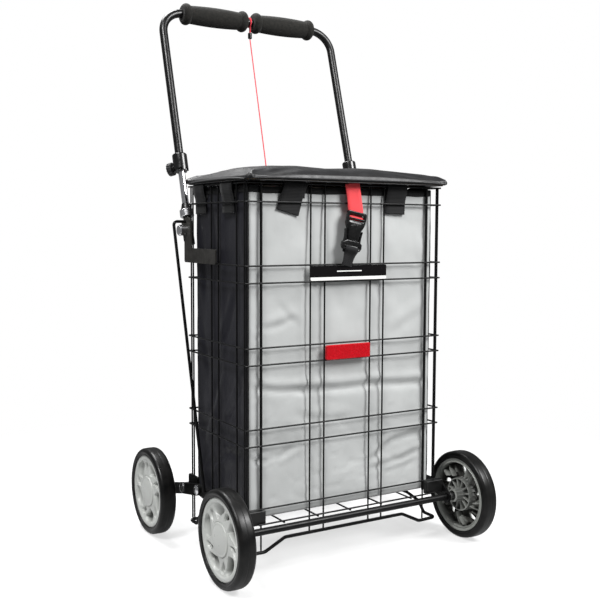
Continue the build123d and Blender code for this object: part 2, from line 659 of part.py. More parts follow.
PRONG_T = 5.0
TONGUE_T = 2.6
with BuildPart() as buckle_plug:
    with BuildSketch(buckle_front(BUCKLE_T)):
        with BuildLine():
            Polyline(
                (-15, PLUG_V1), (15, PLUG_V1), (20.5, -20), (20.5, -29), (17, PLUG_V0), (-17, PLUG_V0),
                (-20.5, -29), (-20.5, -20), close=True)
        make_face()
        with Locations((0, -27)):
            Rectangle(STRAP_W + 1, 3.5, mode=Mode.SUBTRACT)
    extrude(amount=BUCKLE_T)
    with BuildSketch(buckle_front(PRONG_T)):
        with Locations((-17.3, -9.5), (17.3, -9.5)):
            Rectangle(4, 23)
    extrude(amount=PRONG_T)
    with BuildSketch(buckle_front(TONGUE_T)):
        with Locations((0, -12)):
            Rectangle(5, 18)
    extrude(amount=TONGUE_T)
finish(buckle_plug, "buckle_plug")

LABEL_Z0 = 497.0
LABEL_Z1 = 522.5
BASKET_STRAP_FOOT_X = -8.0
with BuildPart() as basket_strap:
    with BuildSketch(Plane.XZ.offset(-(STRAP_Y + STRAP_T / 2))):
        Polygon(
            buckle_xz(-14, PLUG_V0 - 0.2), buckle_xz(14, PLUG_V0 - 0.2),
            (BASKET_STRAP_FOOT_X + 14, LABEL_Z1 + 0.5),
            (BASKET_STRAP_FOOT_X - 14, LABEL_Z1 + 0.5), align=None)
    extrude(amount=STRAP_T)
finish(basket_strap, "basket_strap")

WIRE_FACE_Y = FRONT_Y - WELD - WIRE_R
with BuildPart() as label_plate:
    with BuildSketch(Plane.XZ.offset(-(WIRE_FACE_Y - 0.1))):
        with Locations((0, (LABEL_Z0 + LABEL_Z1) / 2)):
            RectangleRounded(2 * 79.5, LABEL_Z1 - LABEL_Z0, 2.5)
    extrude(amount=1.5)
finish(label_plate, "label_plate")

with BuildPart() as reflector:
    with BuildSketch(Plane.XZ.offset(-(WIRE_FACE_Y - 0.1))):
        with Locations((-2, 371)):
            RectangleRounded(93, 26, 3)
    extrude(amount=4.5)
    chamfer(reflector.faces().sort_by(Axis.Y)[0].edges(), 1.2)
finish(reflector, "reflector")

# ---- shopping bag --------------------------------------------------------------------------------
BAG_X0 = -(HALF_W - 4.0)
BAG_X1 = HALF_W - 11.0
BAG_Y0 = FRONT_Y + 5.0
BAG_Y1 = FRONT_Y + 209.0
BAG_Z0 = 94.5
BAG_Z1 = 657.0
BAG_T = 2.5
with BuildPart() as shopping_bag:
    with BuildSketch(Plane.XY.offset(BAG_Z0)):
        with Locations(((BAG_X0 + BAG_X1) / 2, (BAG_Y0 + BAG_Y1) / 2)):
            RectangleRounded(BAG_X1 - BAG_X0, BAG_Y1 - BAG_Y0, 7.0)
    extrude(amount=BAG_Z1 - BAG_Z0)
    fillet(shopping_bag.faces().sort_by(Axis.Z)[0].edges(), 6.0)
    offset(amount=-BAG_T, openings=shopping_bag.faces().sort_by(Axis.Z)[-1])
finish(shopping_bag, "shopping_bag")


def tab_outline(wire, inner):
    """Section of a tab over a rim wire: u grows outward, from the bag's face at inner."""
    return [
        (inner + 0.7, 650.0), (inner + 0.7, RIM_Z + 2.1), (wire + 2.1, RIM_Z + 2.1),
        (wire + 2.1, RIM_Z - 6), (wire - 2.9, RIM_Z - 24), (wire - 2.9, RIM_Z - 49)]


TAB_W = 44.0
TAB_T = 0.9
with BuildPart() as bag_tabs:
    front_tab = tab_outline(-(FRONT_Y - WELD), -BAG_Y0)
    rear_tab = tab_outline(REAR_Y + WELD, BAG_Y1 + 8)
    for tab_x in (-109.0, 102.0):
        for y_side, outline in ((-1, front_tab), (1, rear_tab)):
            points = [(y_side * u, v) for u, v in outline]
            with BuildSketch(Plane.YZ.offset(tab_x - TAB_W / 2)):
                Polygon(*band(points, TAB_T / 2), align=None)
            extrude(amount=TAB_W)
    for tab_y in (67.0, 178.0):
        for side in SIDES.values():
            points = [(side * u, v) for u, v in tab_outline(SIDE_X, -BAG_X0)]
            with BuildSketch(Plane.XZ.offset(-(FRONT_Y + tab_y - TAB_W / 2))):
                Polygon(*band(points, TAB_T / 2), align=None)
            extrude(amount=-TAB_W)
finish(bag_tabs, "bag_tabs")

# ---- red cord ------------------------------------------------------------------------------------
CORD_R = 1.1
TOGGLE = (1.0, bar_y - 3.5, bar_z - 27.0)
CORD_FOOT = (-13.0, REAR_Y + WELD + WIRE_R + CORD_R + 0.2, LEVELS[5])
red_cord = round_bar([(TOGGLE[0], TOGGLE[1], TOGGLE[2] - 7.2), CORD_FOOT], [], CORD_R)
finish(red_cord, "red_cord")

with BuildPart() as cord_toggle:
    with BuildSketch(Plane.XY.offset(TOGGLE[2] - 6.4)):
        with Locations(TOGGLE[:2]):
            Circle(4.2)
    extrude(amount=12.0)
    fillet(cord_toggle.edges(), 1.6)
finish(cord_toggle, "cord_toggle")

with BuildPart() as cord_loop:
    with BuildSketch(Plane(origin=(0.5, bar_y, bar_z), z_dir=(1, 0, 0))):
        Circle(TUBE_R + 2 * CORD_R + 0.2)
        Circle(TUBE_R + 0.1, mode=Mode.SUBTRACT)
    extrude(amount=CORD_R, both=True)
    with BuildSketch(Plane.XY.offset(TOGGLE[2] + 5.8)):
        with Locations(TOGGLE[:2]):
            Rectangle(2.2, 3.4)
    extrude(amount=bar_z - TUBE_R - 1.0 - TOGGLE[2] - 5.8)
finish(cord_loop, "cord_loop")
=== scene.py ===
"""The looks of the wire shopping cart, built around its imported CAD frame.

Shapes are worked out in millimetres and become metres as they enter Blender.
"""
import math

import bmesh
import bpy
import numpy as np
from mathutils import Matrix, Vector, noise


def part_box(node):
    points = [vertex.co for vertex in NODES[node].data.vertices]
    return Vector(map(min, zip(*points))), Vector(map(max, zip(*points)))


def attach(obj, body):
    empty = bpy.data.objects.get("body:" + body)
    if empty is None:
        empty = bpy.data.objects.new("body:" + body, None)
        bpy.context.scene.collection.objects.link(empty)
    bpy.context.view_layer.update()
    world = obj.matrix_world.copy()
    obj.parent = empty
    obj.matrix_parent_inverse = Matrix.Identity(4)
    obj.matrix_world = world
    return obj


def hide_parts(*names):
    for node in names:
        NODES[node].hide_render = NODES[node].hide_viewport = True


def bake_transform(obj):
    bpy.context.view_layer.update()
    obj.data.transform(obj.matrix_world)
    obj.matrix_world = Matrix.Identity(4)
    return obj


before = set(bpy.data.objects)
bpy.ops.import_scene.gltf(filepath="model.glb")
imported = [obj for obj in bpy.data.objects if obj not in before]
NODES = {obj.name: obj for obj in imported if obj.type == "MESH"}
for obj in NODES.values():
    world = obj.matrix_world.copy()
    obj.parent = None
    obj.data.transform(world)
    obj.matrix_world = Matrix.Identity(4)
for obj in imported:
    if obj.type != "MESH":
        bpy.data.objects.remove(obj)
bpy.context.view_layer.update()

MM = 0.001


# ---- places read from the frame ----
def box_mm(node):
    """Lowest and highest corner of a CAD node, in millimetres."""
    low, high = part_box(node)
    return [c / MM for c in low], [c / MM for c in high]


PANEL_LOW, PANEL_HIGH = box_mm("front_panel")
BAG_LOW, BAG_HIGH = box_mm("shopping_bag")
PAD_LOW, PAD_HIGH = box_mm("seat_cushion")
BOARD_LOW, BOARD_HIGH = box_mm("lid_board")
RIM_Z = PANEL_HIGH[2] - 1.5             # centre of the front rim wire
FRONT_WIRE_Y = PANEL_LOW[1] + 1.5       # centre plane of the level wires in front
REAR_WIRE_Y = box_mm("rear_panel")[1][1] - 1.5
SIDE_WIRE_X = box_mm("right_side_panel")[1][0] - 1.5


# ---- mesh building ----
def turns(count):
    """Angles spread evenly round a full turn."""
    return [2 * math.pi * k / count for k in range(count)]


def smooth_step(t):
    t = max(0.0, min(1.0, t))
    return t * t * (3 - 2 * t)


class Shape:
    """Points in millimetres and faces, gathered into one mesh."""

    def __init__(self):
        self.points = []
        self.faces = []
        self.tags = []

    def add(self, points, faces, tag=0):
        base = len(self.points)
        self.points += [tuple(p) for p in points]
        self.faces += [[base + i for i in face] for face in faces]
        self.tags += [tag] * len(faces)

    def grid(self, rows, wrap_across=False, wrap_along=False):
        """Quads over rows of points. Each row has the same number of points."""
        count, width = len(rows), len(rows[0])
        faces = []
        for i in range(count if wrap_along else count - 1):
            for j in range(width if wrap_across else width - 1):
                k, m = (i + 1) % count, (j + 1) % width
                faces.append((i * width + j, i * width + m, k * width + m, k * width + j))
        self.add([p for row in rows for p in row], faces)

    def cap(self, ring, back=False):
        """Closes a ring of points with one face."""
        order = list(range(len(ring)))
        self.add(ring, [order[::-1] if back else order])

    def tube(self, path, radius, sides=8, closed=False):
        """A round tube along a path of points."""
        path = [Vector(p) for p in path]
        count = len(path)
        rings = []
        side = None
        for i, p in enumerate(path):
            if closed:
                ahead, behind = path[(i + 1) % count], path[i - 1]
            else:
                ahead, behind = path[min(i + 1, count - 1)], path[max(i - 1, 0)]
            run = (ahead - behind).normalized()
            if side is None:
                side = run.orthogonal()
            side = (side - run * side.dot(run)).normalized()
            other = run.cross(side)
            rings.append([p + (side * math.cos(a) + other * math.sin(a)) * radius for a in turns(sides)])
        self.grid(rings, wrap_across=True, wrap_along=closed)
        if not closed:
            self.cap(rings[0], back=True)
            self.cap(rings[-1])

    def ribbon(self, path, across, width, thickness):
        """A flat strap along a path. across gives the width's direction at each point."""
        last = len(path) - 1
        rows = []
        half, lift = width / 2, thickness / 2
        flat = half - thickness * 0.35
        upper = [(-flat, lift), (-half / 2, lift), (0, lift), (half / 2, lift), (flat, lift)]
        section = [(-half, 0), *upper, (half, 0), *[(u, -v) for u, v in upper[::-1]]]
        for i, p in enumerate(path):
            run = (path[min(i + 1, last)] - path[max(i - 1, 0)]).normalized()
            wide = (across[i] - run * across[i].dot(run)).normalized()
            up = wide.cross(run)
            rows.append([p + wide * u + up * v for u, v in section])
        self.grid(rows, wrap_across=True)
        self.cap(rows[0])
        self.cap(rows[-1], back=True)

    def lathe(self, profile, centre, side, segments):
        """Turns a closed profile of (x outward, radius) about a wheel's axle."""
        x0, y0, z0 = centre
        rows = [[(x0 + side * x, y0 + r * math.cos(a), z0 + r * math.sin(a)) for x, r in profile]
                for a in turns(segments)]
        self.grid(rows, wrap_across=True, wrap_along=True)

    def build(self, name, finishes, body=None, smooth=True, mend=True):
        """Makes the object. finishes is one material or several, picked by each face's tag."""
        data = bpy.data.meshes.new(name)
        data.from_pydata([[c * MM for c in p] for p in self.points], [], self.faces)
        for finish in finishes if isinstance(finishes, list) else [finishes]:
            data.materials.append(finish)
        data.polygons.foreach_set("material_index", self.tags)
        if mend:
            tidy_normals(data)
        if smooth:
            data.shade_smooth()
        data.update()
        piece = bpy.data.objects.new(name, data)
        bpy.context.scene.collection.objects.link(piece)
        if body:
            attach(piece, body)
        return piece


def tidy_normals(data):
    """Merges points that lie together and turns every face outward."""
    work = bmesh.new()
    work.from_mesh(data)
    bmesh.ops.remove_doubles(work, verts=work.verts, dist=0.00002)
    bmesh.ops.recalc_face_normals(work, faces=work.faces)
    work.to_mesh(data)
    work.free()


def sharpen(piece, degrees):
    """Keeps the edges sharper than this angle crisp under smooth shading."""
    piece.data.set_sharp_from_angle(angle=math.radians(degrees))
    return piece


def shaped_mesh(piece):
    """A new mesh of the piece as its modifiers or its curve make it."""
    bpy.context.view_layer.update()
    return bpy.data.meshes.new_from_object(piece.evaluated_get(bpy.context.evaluated_depsgraph_get()))


def apply_modifiers(piece):
    done = shaped_mesh(piece)
    piece.modifiers.clear()
    piece.data = done


def curve_mesh(name, kind, lines, **settings):
    """The mesh of a curve through lines of points. Its splines are closed where it is flat."""
    curve = bpy.data.curves.new(name, "CURVE")
    curve.dimensions = kind
    for key, value in settings.items():
        setattr(curve, key, value)
    for line in lines:
        spline = curve.splines.new("POLY" if kind == "2D" else "NURBS")
        spline.points.add(len(line) - 1)
        for point, place in zip(spline.points, line):
            point.co = (*place, 1)
        spline.use_cyclic_u = kind == "2D"
        if kind == "3D":
            spline.order_u = 3
            spline.use_endpoint_u = True
    holder = bpy.data.objects.new(name, curve)
    bpy.context.scene.collection.objects.link(holder)
    data = shaped_mesh(holder)
    bpy.data.objects.remove(holder)
    return data


def rounded(corners):
    """A closed outline through corners of (u, v, radius), each rounded by an arc."""
    outline = []
    steps = 5
    count = len(corners)
    for i, (u, v, radius) in enumerate(corners):
        here = Vector((u, v))
        before = Vector(corners[i - 1][:2]) - here
        after = Vector(corners[(i + 1) % count][:2]) - here
        turn = before.angle(after)
        cut = min(radius / math.tan(turn / 2), before.length * 0.49, after.length * 0.49)
        if radius <= 0 or cut < 1e-6:
            outline.append((u, v))
            continue
        a, b = here + before.normalized() * cut, here + after.normalized() * cut
        for k in range(steps + 1):
            t = k / steps
            outline.append(tuple(a * (1 - t) ** 2 + here * 2 * t * (1 - t) + b * t ** 2))
    return outline


def curved(points, steps):
    """A smooth line through points, with this many steps between each two."""
    line = []
    last = len(points) - 1
    for i in range(last):
        p0, p1, p2, p3 = (points[max(0, min(last, i + d))] for d in (-1, 0, 1, 2))
        for k in range(steps):
            t = k / steps
            line.append(0.5 * (2 * p1 + (p2 - p0) * t + (2 * p0 - 5 * p1 + 4 * p2 - p3) * t * t
                               + (3 * p1 - p0 - 3 * p2 + p3) * t ** 3))
    return line + [points[-1]]


def boxy(angle, half, tall, power):
    """A point at this angle round a boxy oval of these half sizes."""
    c, s = math.cos(angle), math.sin(angle)
    r = (abs(c / half) ** power + abs(s / tall) ** power) ** (-1 / power)
    return r * c, r * s


# ---- materials ----
class Finish:
    """A procedural material. Its nodes vary the colour, the gloss and the relief over the piece."""

    def __init__(self, name, **sockets):
        self.material = bpy.data.materials.new(name)
        self.material.use_nodes = True
        self.tree = self.material.node_tree
        self.shader = self.tree.nodes["Principled BSDF"]
        for socket, value in sockets.items():
            self.shader.inputs[socket.replace("_", " ")].default_value = value
        self.place = self.tree.nodes.new("ShaderNodeTexCoord").outputs["Object"]
        self.normal = None

    def node(self, kind, inputs=None, **settings):
        made = self.tree.nodes.new("ShaderNode" + kind)
        for key, value in settings.items():
            setattr(made, key, value)
        for key, value in (inputs or {}).items():
            if isinstance(value, bpy.types.NodeSocket):
                self.tree.links.new(value, made.inputs[key])
            else:
                made.inputs[key].default_value = value
        return made

    def stretched(self, x, y, z):
        """The place on the piece, scaled along each axis."""
        return self.node("Mapping", {"Vector": self.place, "Scale": (x, y, z)}).outputs[0]

    def noise(self, scale, detail=3.0, place=None):
        inputs = {"Vector": place or self.place, "Scale": scale, "Detail": detail}
        return self.node("TexNoise", inputs).outputs["Fac"]

    def cells(self, scale, place=None, feature="F1"):
        inputs = {"Vector": place or self.place, "Scale": scale}
        return self.node("TexVoronoi", inputs, feature=feature).outputs["Distance"]

    def math(self, operation, a, b=0.0, c=0.5):
        return self.node("Math", {0: a, 1: b, 2: c}, operation=operation).outputs[0]

    def axis(self, name):
        return self.node("SeparateXYZ", {0: self.place}).outputs[name]

    def wave(self, along, pitch_mm):
        """0 to 1 and back once every pitch along a coordinate."""
        phase = self.math("MULTIPLY", along, 2 * math.pi / (pitch_mm * MM))
        return self.math("MULTIPLY_ADD", self.math("SINE", phase), 0.5)

    def spread(self, value, low, high, start=0.3, end=0.7):
        inputs = {0: value, 1: start, 2: end, 3: low, 4: high}
        return self.node("MapRange", inputs).outputs[0]

    def colours(self, value, dark, light, start=0.35, end=0.65):
        ramp = self.node("ValToRGB", {0: value})
        ramp.color_ramp.elements[0].position = start
        ramp.color_ramp.elements[0].color = (*dark, 1)
        ramp.color_ramp.elements[1].position = end
        ramp.color_ramp.elements[1].color = (*light, 1)
        self.tree.links.new(ramp.outputs[0], self.shader.inputs["Base Color"])
        return ramp

    def gloss(self, value, low, high, start=0.3, end=0.7):
        self.tree.links.new(self.spread(value, low, high, start, end), self.shader.inputs["Roughness"])

    def relief(self, height, strength, depth_mm):
        """Adds a bump of this depth to those before it."""
        inputs = {"Height": height, "Strength": strength, "Distance": depth_mm * MM}
        if self.normal:
            inputs["Normal"] = self.normal
        self.normal = self.node("Bump", inputs).outputs[0]
        self.tree.links.new(self.normal, self.shader.inputs["Normal"])


def grey(value):
    return (value, value, value)


def noisy(name, tint, gloss, relief=None, **sockets):
    """A finish that varies by noise alone.

    tint is (scale, detail, dark, light), gloss (scale, detail, low, high) and relief
    (scale, strength, depth in mm)."""
    finish = Finish(name, **sockets)
    finish.colours(finish.noise(*tint[:2]), *tint[2:])
    finish.gloss(finish.noise(*gloss[:2]), *gloss[2:])
    if relief:
        finish.relief(finish.noise(relief[0], 2), *relief[1:])
    return finish.material


def coated_metal(name, dark, light, rough, grain_mm=0.06, shine=0.32):
    """Powder coat: a faint orange peel, rubbed a little smoother in patches."""
    peel = (900, 0.5, grain_mm) if grain_mm else None
    return noisy(name, (60, 4, dark, light), (140, 4, rough - 0.06, rough + 0.10), peel,
                 Specular_IOR_Level=shine)


def polished_metal(name, colour, rough):
    """Bare or plated metal, a little duller in specks."""
    dull = [c * 0.86 for c in colour]
    return noisy(name, (90, 4, dull, colour), (260, 4, rough, rough + 0.10), Metallic=1.0)


def moulded(name, dark, light, rough, grain_mm=0.05, scale=1400, coat=0.0):
    """Moulded plastic with a fine spark-eroded grain."""
    return noisy(name, (45, 3, dark, light), (180, 4, rough - 0.05, rough + 0.09), (scale, 0.5, grain_mm),
                 Coat_Weight=coat, Coat_Roughness=0.15, Specular_IOR_Level=0.38)


def painted_shade_depth(finish, top, bottom, blotches, blotch):
    """How deep a spot of a hub lies, with blotches, as the share of painted shade: 0 at top, 1 at bottom, in
    mm out of its middle plane.
    """
    low, high = box_mm("front_right_tyre")
    middle = (low[0] + high[0]) / 2
    out = finish.math("ABSOLUTE", finish.axis("X"))
    depth = finish.spread(out, 0.0, 1.0, (middle + top) * MM, (middle + bottom) * MM)
    return finish.math("ADD", depth, finish.math("MULTIPLY_ADD", blotches, blotch, -blotch / 2))


def hub_face():
    """The hub's pale plastic, with painted shade darkening it down in its recesses."""
    finish = Finish("hub_plastic", Specular_IOR_Level=0.42)
    # painted shade: the colour goes from pale to dark the deeper a spot lies in the recesses
    depth = painted_shade_depth(finish, 8.5, -2, finish.noise(45, 3), 0.1)
    finish.colours(depth, (0.56, 0.575, 0.55), (0.17, 0.175, 0.165), 0.0, 1.0)
    finish.gloss(finish.noise(120, 3), 0.27, 0.35)
    finish.relief(finish.noise(150, 2), 0.2, 0.02)
    return finish.material


def shaded_hub_back():
    """The hub's back: a darker, shaded copy of the same plastic, with painted shade deepening the further it
    lies from the open side.
    """
    finish = Finish("shaded_hub_back", Specular_IOR_Level=0.30)
    # painted shade: darker the further a spot lies from the open side, with blotches
    depth = painted_shade_depth(finish, -11, 1, finish.noise(60, 4), 0.24)
    finish.colours(depth, (0.30, 0.31, 0.29), (0.055, 0.055, 0.05), 0.1, 0.9)
    finish.gloss(finish.noise(180, 4), 0.36, 0.5)
    finish.relief(finish.noise(700, 2), 0.4, 0.04)
    return finish.material


def tyre_rubber():
    """Smooth rubber, dusted and scuffed lightly round its tread."""
    finish = Finish("tyre_rubber", Specular_IOR_Level=0.26)
    scuffs = finish.noise(70, 6)
    finish.colours(scuffs, grey(0.003), (0.009, 0.0085, 0.008), 0.42, 0.78)
    finish.gloss(finish.noise(38, 5), 0.27, 0.44)
    finish.relief(finish.noise(520, 4), 0.35, 0.10)
    return finish.material


def foam():
    """Closed-cell foam: matt, with fine pores."""
    finish = Finish(
        "grip_foam", Roughness=0.92, Specular_IOR_Level=0.2, Sheen_Weight=0.06, Sheen_Roughness=0.6)
    finish.colours(finish.noise(240, 5), (0.006, 0.006, 0.005), (0.014, 0.013, 0.011))
    finish.relief(finish.cells(950), 0.8, 0.35)
    finish.relief(finish.noise(2300, 3), 0.6, 0.15)
    return finish.material


def vinyl():
    """Grained upholstery vinyl."""
    finish = Finish("seat_vinyl", Specular_IOR_Level=0.40)
    finish.colours(finish.noise(26, 4), (0.0035, 0.0035, 0.0038), (0.008, 0.008, 0.009))
    finish.gloss(finish.noise(55, 4), 0.40, 0.54)
    finish.relief(finish.cells(620, feature="DISTANCE_TO_EDGE"), 0.35, 0.18)
    finish.relief(finish.noise(170, 4), 0.35, 0.35)
    return finish.material


def woven(name, dark, light, rough, thread_mm, relief_mm, sheen=0.0):
    """Plain-woven coated cloth: threads cross at thread_mm on upright walls, with softer slubs."""
    finish = Finish(name, Sheen_Weight=sheen, Sheen_Roughness=0.5, Specular_IOR_Level=0.35)
    level = finish.math("ADD", finish.axis("X"), finish.axis("Y"))
    warp = finish.wave(level, thread_mm)
    weft = finish.wave(finish.axis("Z"), thread_mm)
    weave = finish.math("MULTIPLY", warp, weft)
    slubs = finish.noise(1, 4, finish.stretched(260, 260, 30))
    finish.colours(finish.noise(9, 6), dark, light, 0.3, 0.7)
    finish.gloss(slubs, rough - 0.05, rough + 0.08)
    finish.relief(weave, 0.35, relief_mm)
    finish.relief(finish.noise(70, 5), 0.30, 0.6)
    finish.relief(slubs, 0.15, 0.25)
    return finish.material


def tape(name, dark, light, rib_mm, rough=0.75, diagonal=False):
    """Woven tape: ribs across its length, and a fine weave between them."""
    finish = Finish(name, Roughness=rough, Specular_IOR_Level=0.25, Sheen_Weight=0.06, Sheen_Roughness=0.45)
    ribs = finish.wave(finish.axis("Z"), rib_mm)
    level = finish.math("ADD", finish.axis("X"), finish.axis("Y"))
    ends = finish.wave(level, rib_mm * 0.7)
    mix = finish.math("MULTIPLY_ADD", ribs, ends) if diagonal else finish.math("MAXIMUM", ribs, 0.25)
    finish.colours(mix, dark, light, 0.1, 1.0)
    finish.relief(mix, 0.8, 0.30)
    finish.relief(finish.noise(700, 3), 0.4, 0.12)
    return finish.material


def plywood():
    """The lid board: plywood with grain along its length."""
    finish = Finish("lid_plywood", Roughness=0.7)
    grain = finish.noise(14, 8, finish.stretched(1.2, 14, 14))
    finish.colours(grain, (0.20, 0.115, 0.055), (0.46, 0.31, 0.17), 0.3, 0.7)
    finish.relief(finish.noise(30, 6, finish.stretched(1.5, 30, 30)), 0.4, 0.3)
    return finish.material


def label_print():
    """Gloss black plate with plain white bars and no lettering."""
    finish = Finish("label_print", Specular_IOR_Level=0.25)
    foot = box_mm("label_plate")[0][2]
    z = finish.axis("Z")
    x = finish.math("ABSOLUTE", finish.axis("X"))
    bar = finish.math("LESS_THAN", z, (foot + 5.6) * MM)
    upper = finish.math("COMPARE", z, (foot + 15.5) * MM, 0.9 * MM)
    short = finish.math("LESS_THAN", x, 26 * MM)
    centre = finish.math("MULTIPLY", upper, short)
    print_area = finish.math("MAXIMUM", bar, centre)
    finish.colours(print_area, (0.004, 0.0035, 0.004), (0.78, 0.78, 0.76), 0.45, 0.55)
    finish.gloss(finish.noise(220, 4), 0.16, 0.28)
    finish.relief(finish.noise(400, 3), 0.2, 0.05)
    return finish.material


def prisms():
    """Moulded reflector: rows of small prisms under a clear face."""
    finish = Finish("reflector_prisms", Coat_Weight=0.25, Coat_Roughness=0.06, Specular_IOR_Level=0.3)
    cells = finish.cells(330, finish.stretched(1, 0.0, 1))
    facets = finish.node("TexVoronoi", {"Vector": finish.place, "Scale": 330.0}, distance="CHEBYCHEV")
    finish.colours(facets.outputs["Distance"], (0.36, 0.002, 0.006), (0.50, 0.003, 0.010), 0.15, 0.75)
    finish.gloss(cells, 0.12, 0.30)
    finish.relief(facets.outputs["Distance"], 0.35, 0.3)
    return finish.material


WIRE = coated_metal("wire_coat", (0.0025, 0.0025, 0.0026), (0.0055, 0.0055, 0.0058), 0.34, shine=0.2)
TUBE = coated_metal("tube_coat", grey(0.003), grey(0.006), 0.28, 0)
BRACKET = coated_metal("bracket_coat", (0.020, 0.019, 0.017), (0.036, 0.034, 0.031), 0.52, 0.12)
ZINC = polished_metal("zinc_steel", (0.62, 0.62, 0.63), 0.28)
CHROME = polished_metal("chrome", (0.90, 0.90, 0.92), 0.05)
BOLT_CHROME = polished_metal("bolt_chrome", (0.86, 0.86, 0.88), 0.10)
RING_METAL = polished_metal("ring_metal", (0.80, 0.80, 0.82), 0.22)
BLACK_PLASTIC = moulded("black_plastic", grey(0.003), grey(0.007), 0.34)
BUCKLE_PLASTIC = moulded("buckle_plastic", grey(0.003), grey(0.006), 0.22, 0.02, 900)
GLOSS_PLASTIC = moulded("gloss_plastic", grey(0.003), grey(0.007), 0.22, 0.02, 700, 0.2)
KNOB_PLASTIC = moulded("knob_plastic", grey(0.018), (0.032, 0.032, 0.033), 0.38)
HUB_PLASTIC = hub_face()
# the hub's back is a copy of the hub plastic, darkened with painted shade
SHADED_HUB_BACK = shaded_hub_back()
TYRE = tyre_rubber()
FOAM = foam()
VINYL = vinyl()
PLYWOOD = plywood()
BAG_GREY = woven("bag_grey", (0.40, 0.41, 0.405), (0.46, 0.47, 0.465), 0.52, 0.9, 0.10, 0.08)
BAG_BLACK = woven("bag_black", (0.005, 0.005, 0.009), (0.010, 0.010, 0.016), 0.42, 0.9, 0.12, 0.04)
BINDING = tape("bag_binding", grey(0.004), (0.010, 0.010, 0.011), 1.6)
TAB_TAPE = tape("tab_tape", grey(0.003), (0.016, 0.016, 0.017), 2.4)
BLACK_TAPE = tape("black_webbing", (0.002, 0.002, 0.0022), (0.006, 0.006, 0.007), 1.5, diagonal=True)
RED_TAPE = tape("red_webbing", (0.62, 0.035, 0.045), (0.92, 0.085, 0.095), 1.5, 0.65, diagonal=True)
RED_CORD = tape("red_braid", (0.50, 0.02, 0.035), (0.80, 0.05, 0.075), 1.1, 0.6, diagonal=True)
THREAD = tape("thread", (0.012, 0.012, 0.013), (0.030, 0.030, 0.032), 0.6)
LABEL = label_print()
PRISMS = prisms()


def dress(material, *names):
    """Gives CAD nodes a finish. Their shapes and places stay as they are."""
    for name in names:
        data = NODES[name].data
        data.materials.clear()
        data.materials.append(material)
        data.polygons.foreach_set("material_index", [0] * len(data.polygons))


dress(WIRE, "front_panel", "rear_panel", "left_side_panel", "right_side_panel", "bottom_panel", "foot_frame")
dress(WIRE, "left_side_rail", "right_side_rail", "left_rear_plate", "right_rear_plate", "rail_clips")
dress(WIRE, "front_axle_tube", "rear_axle_tube", "left_stay_rod", "right_stay_rod")
dress(TUBE, "handle_tube")
dress(BRACKET, "left_handle_bracket", "right_handle_bracket")
dress(ZINC, "front_axle", "rear_axle", "axle_spacers", "lid_hinge_clips")
dress(CHROME, "left_inner_tube", "right_inner_tube")
dress(RING_METAL, "tube_rings")
dress(BOLT_CHROME, "frame_bolts")
dress(BLACK_PLASTIC, "left_corner_block", "right_corner_block", "tube_bushes")
dress(GLOSS_PLASTIC, "left_collar", "right_collar", "cord_toggle")
dress(KNOB_PLASTIC, "left_clamp_knob", "right_clamp_knob")
dress(FOAM, "left_grip", "right_grip")
dress(PLYWOOD, "lid_board")
dress(LABEL, "label_plate")
dress(PRISMS, "reflector")
dress(RED_CORD, "cord_loop")


# ---- red cord ----
def red_cord():
    """The cord from under the toggle down to the rear wire, and the two turns that tie it there."""
    low, high = box_mm("red_cord")
    radius = 1.1
    top = Vector((high[0] - radius, high[1] - radius * 0.95, high[2] - 0.4))
    foot = Vector((low[0] + radius, low[1] + radius * 0.95, low[2] + 0.4))
    stops = [top.lerp(foot, t) for t in (0.0, 0.3, 0.65, 1.0)]
    path = [v.co.copy() for v in curve_mesh("cord_line", "3D", [stops]).vertices]
    shape = Shape()
    shape.tube(path, radius, sides=10)
    piece = shape.build("red_cord_braid", RED_CORD)
    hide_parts("red_cord")
    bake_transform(piece)
    knot = Shape()
    wire = Vector((foot[0], REAR_WIRE_Y, foot[2]))
    for shift in (-1.3, 1.3):
        ring = [wire + Vector((shift, 2.7 * math.cos(a), 2.7 * math.sin(a))) for a in turns(16)]
        knot.tube(ring, 1.05, sides=8, closed=True)
    knot.build("cord_knot", RED_CORD, "frame")


red_cord()


# ---- camera ----
CAMERA_PLACE = (-0.8929, -1.4700, 0.5889)
CAMERA_YAW = 30.947
CAMERA_DOWN = 4.593
CAMERA_ROLL = 0.2145
CAMERA_LENS = 54.57
camera_data = bpy.data.cameras.new("camera")
camera_data.lens = CAMERA_LENS
camera_data.sensor_width = 36
camera = bpy.data.objects.new("camera", camera_data)
bpy.context.scene.collection.objects.link(camera)
aim = (Matrix.Rotation(math.radians(-CAMERA_YAW), 4, "Z")
       @ Matrix.Rotation(math.radians(90 - CAMERA_DOWN), 4, "X")
       @ Matrix.Rotation(math.radians(CAMERA_ROLL), 4, "Z"))
camera.matrix_world = Matrix.Translation(CAMERA_PLACE) @ aim
bpy.context.scene.camera = camera


# ---- studio ----
def area_light(name, place, target, size, power):
    """A round lamp turned towards a target."""
    data = bpy.data.lights.new(name, "AREA")
    data.shape = "DISK"
    data.size = size
    data.energy = power
    lamp = bpy.data.objects.new(name, data)
    bpy.context.scene.collection.objects.link(lamp)
    lamp.location = place
    lamp.rotation_mode = "QUATERNION"
    lamp.rotation_quaternion = (Vector(target) - Vector(place)).to_track_quat("-Z", "Y")


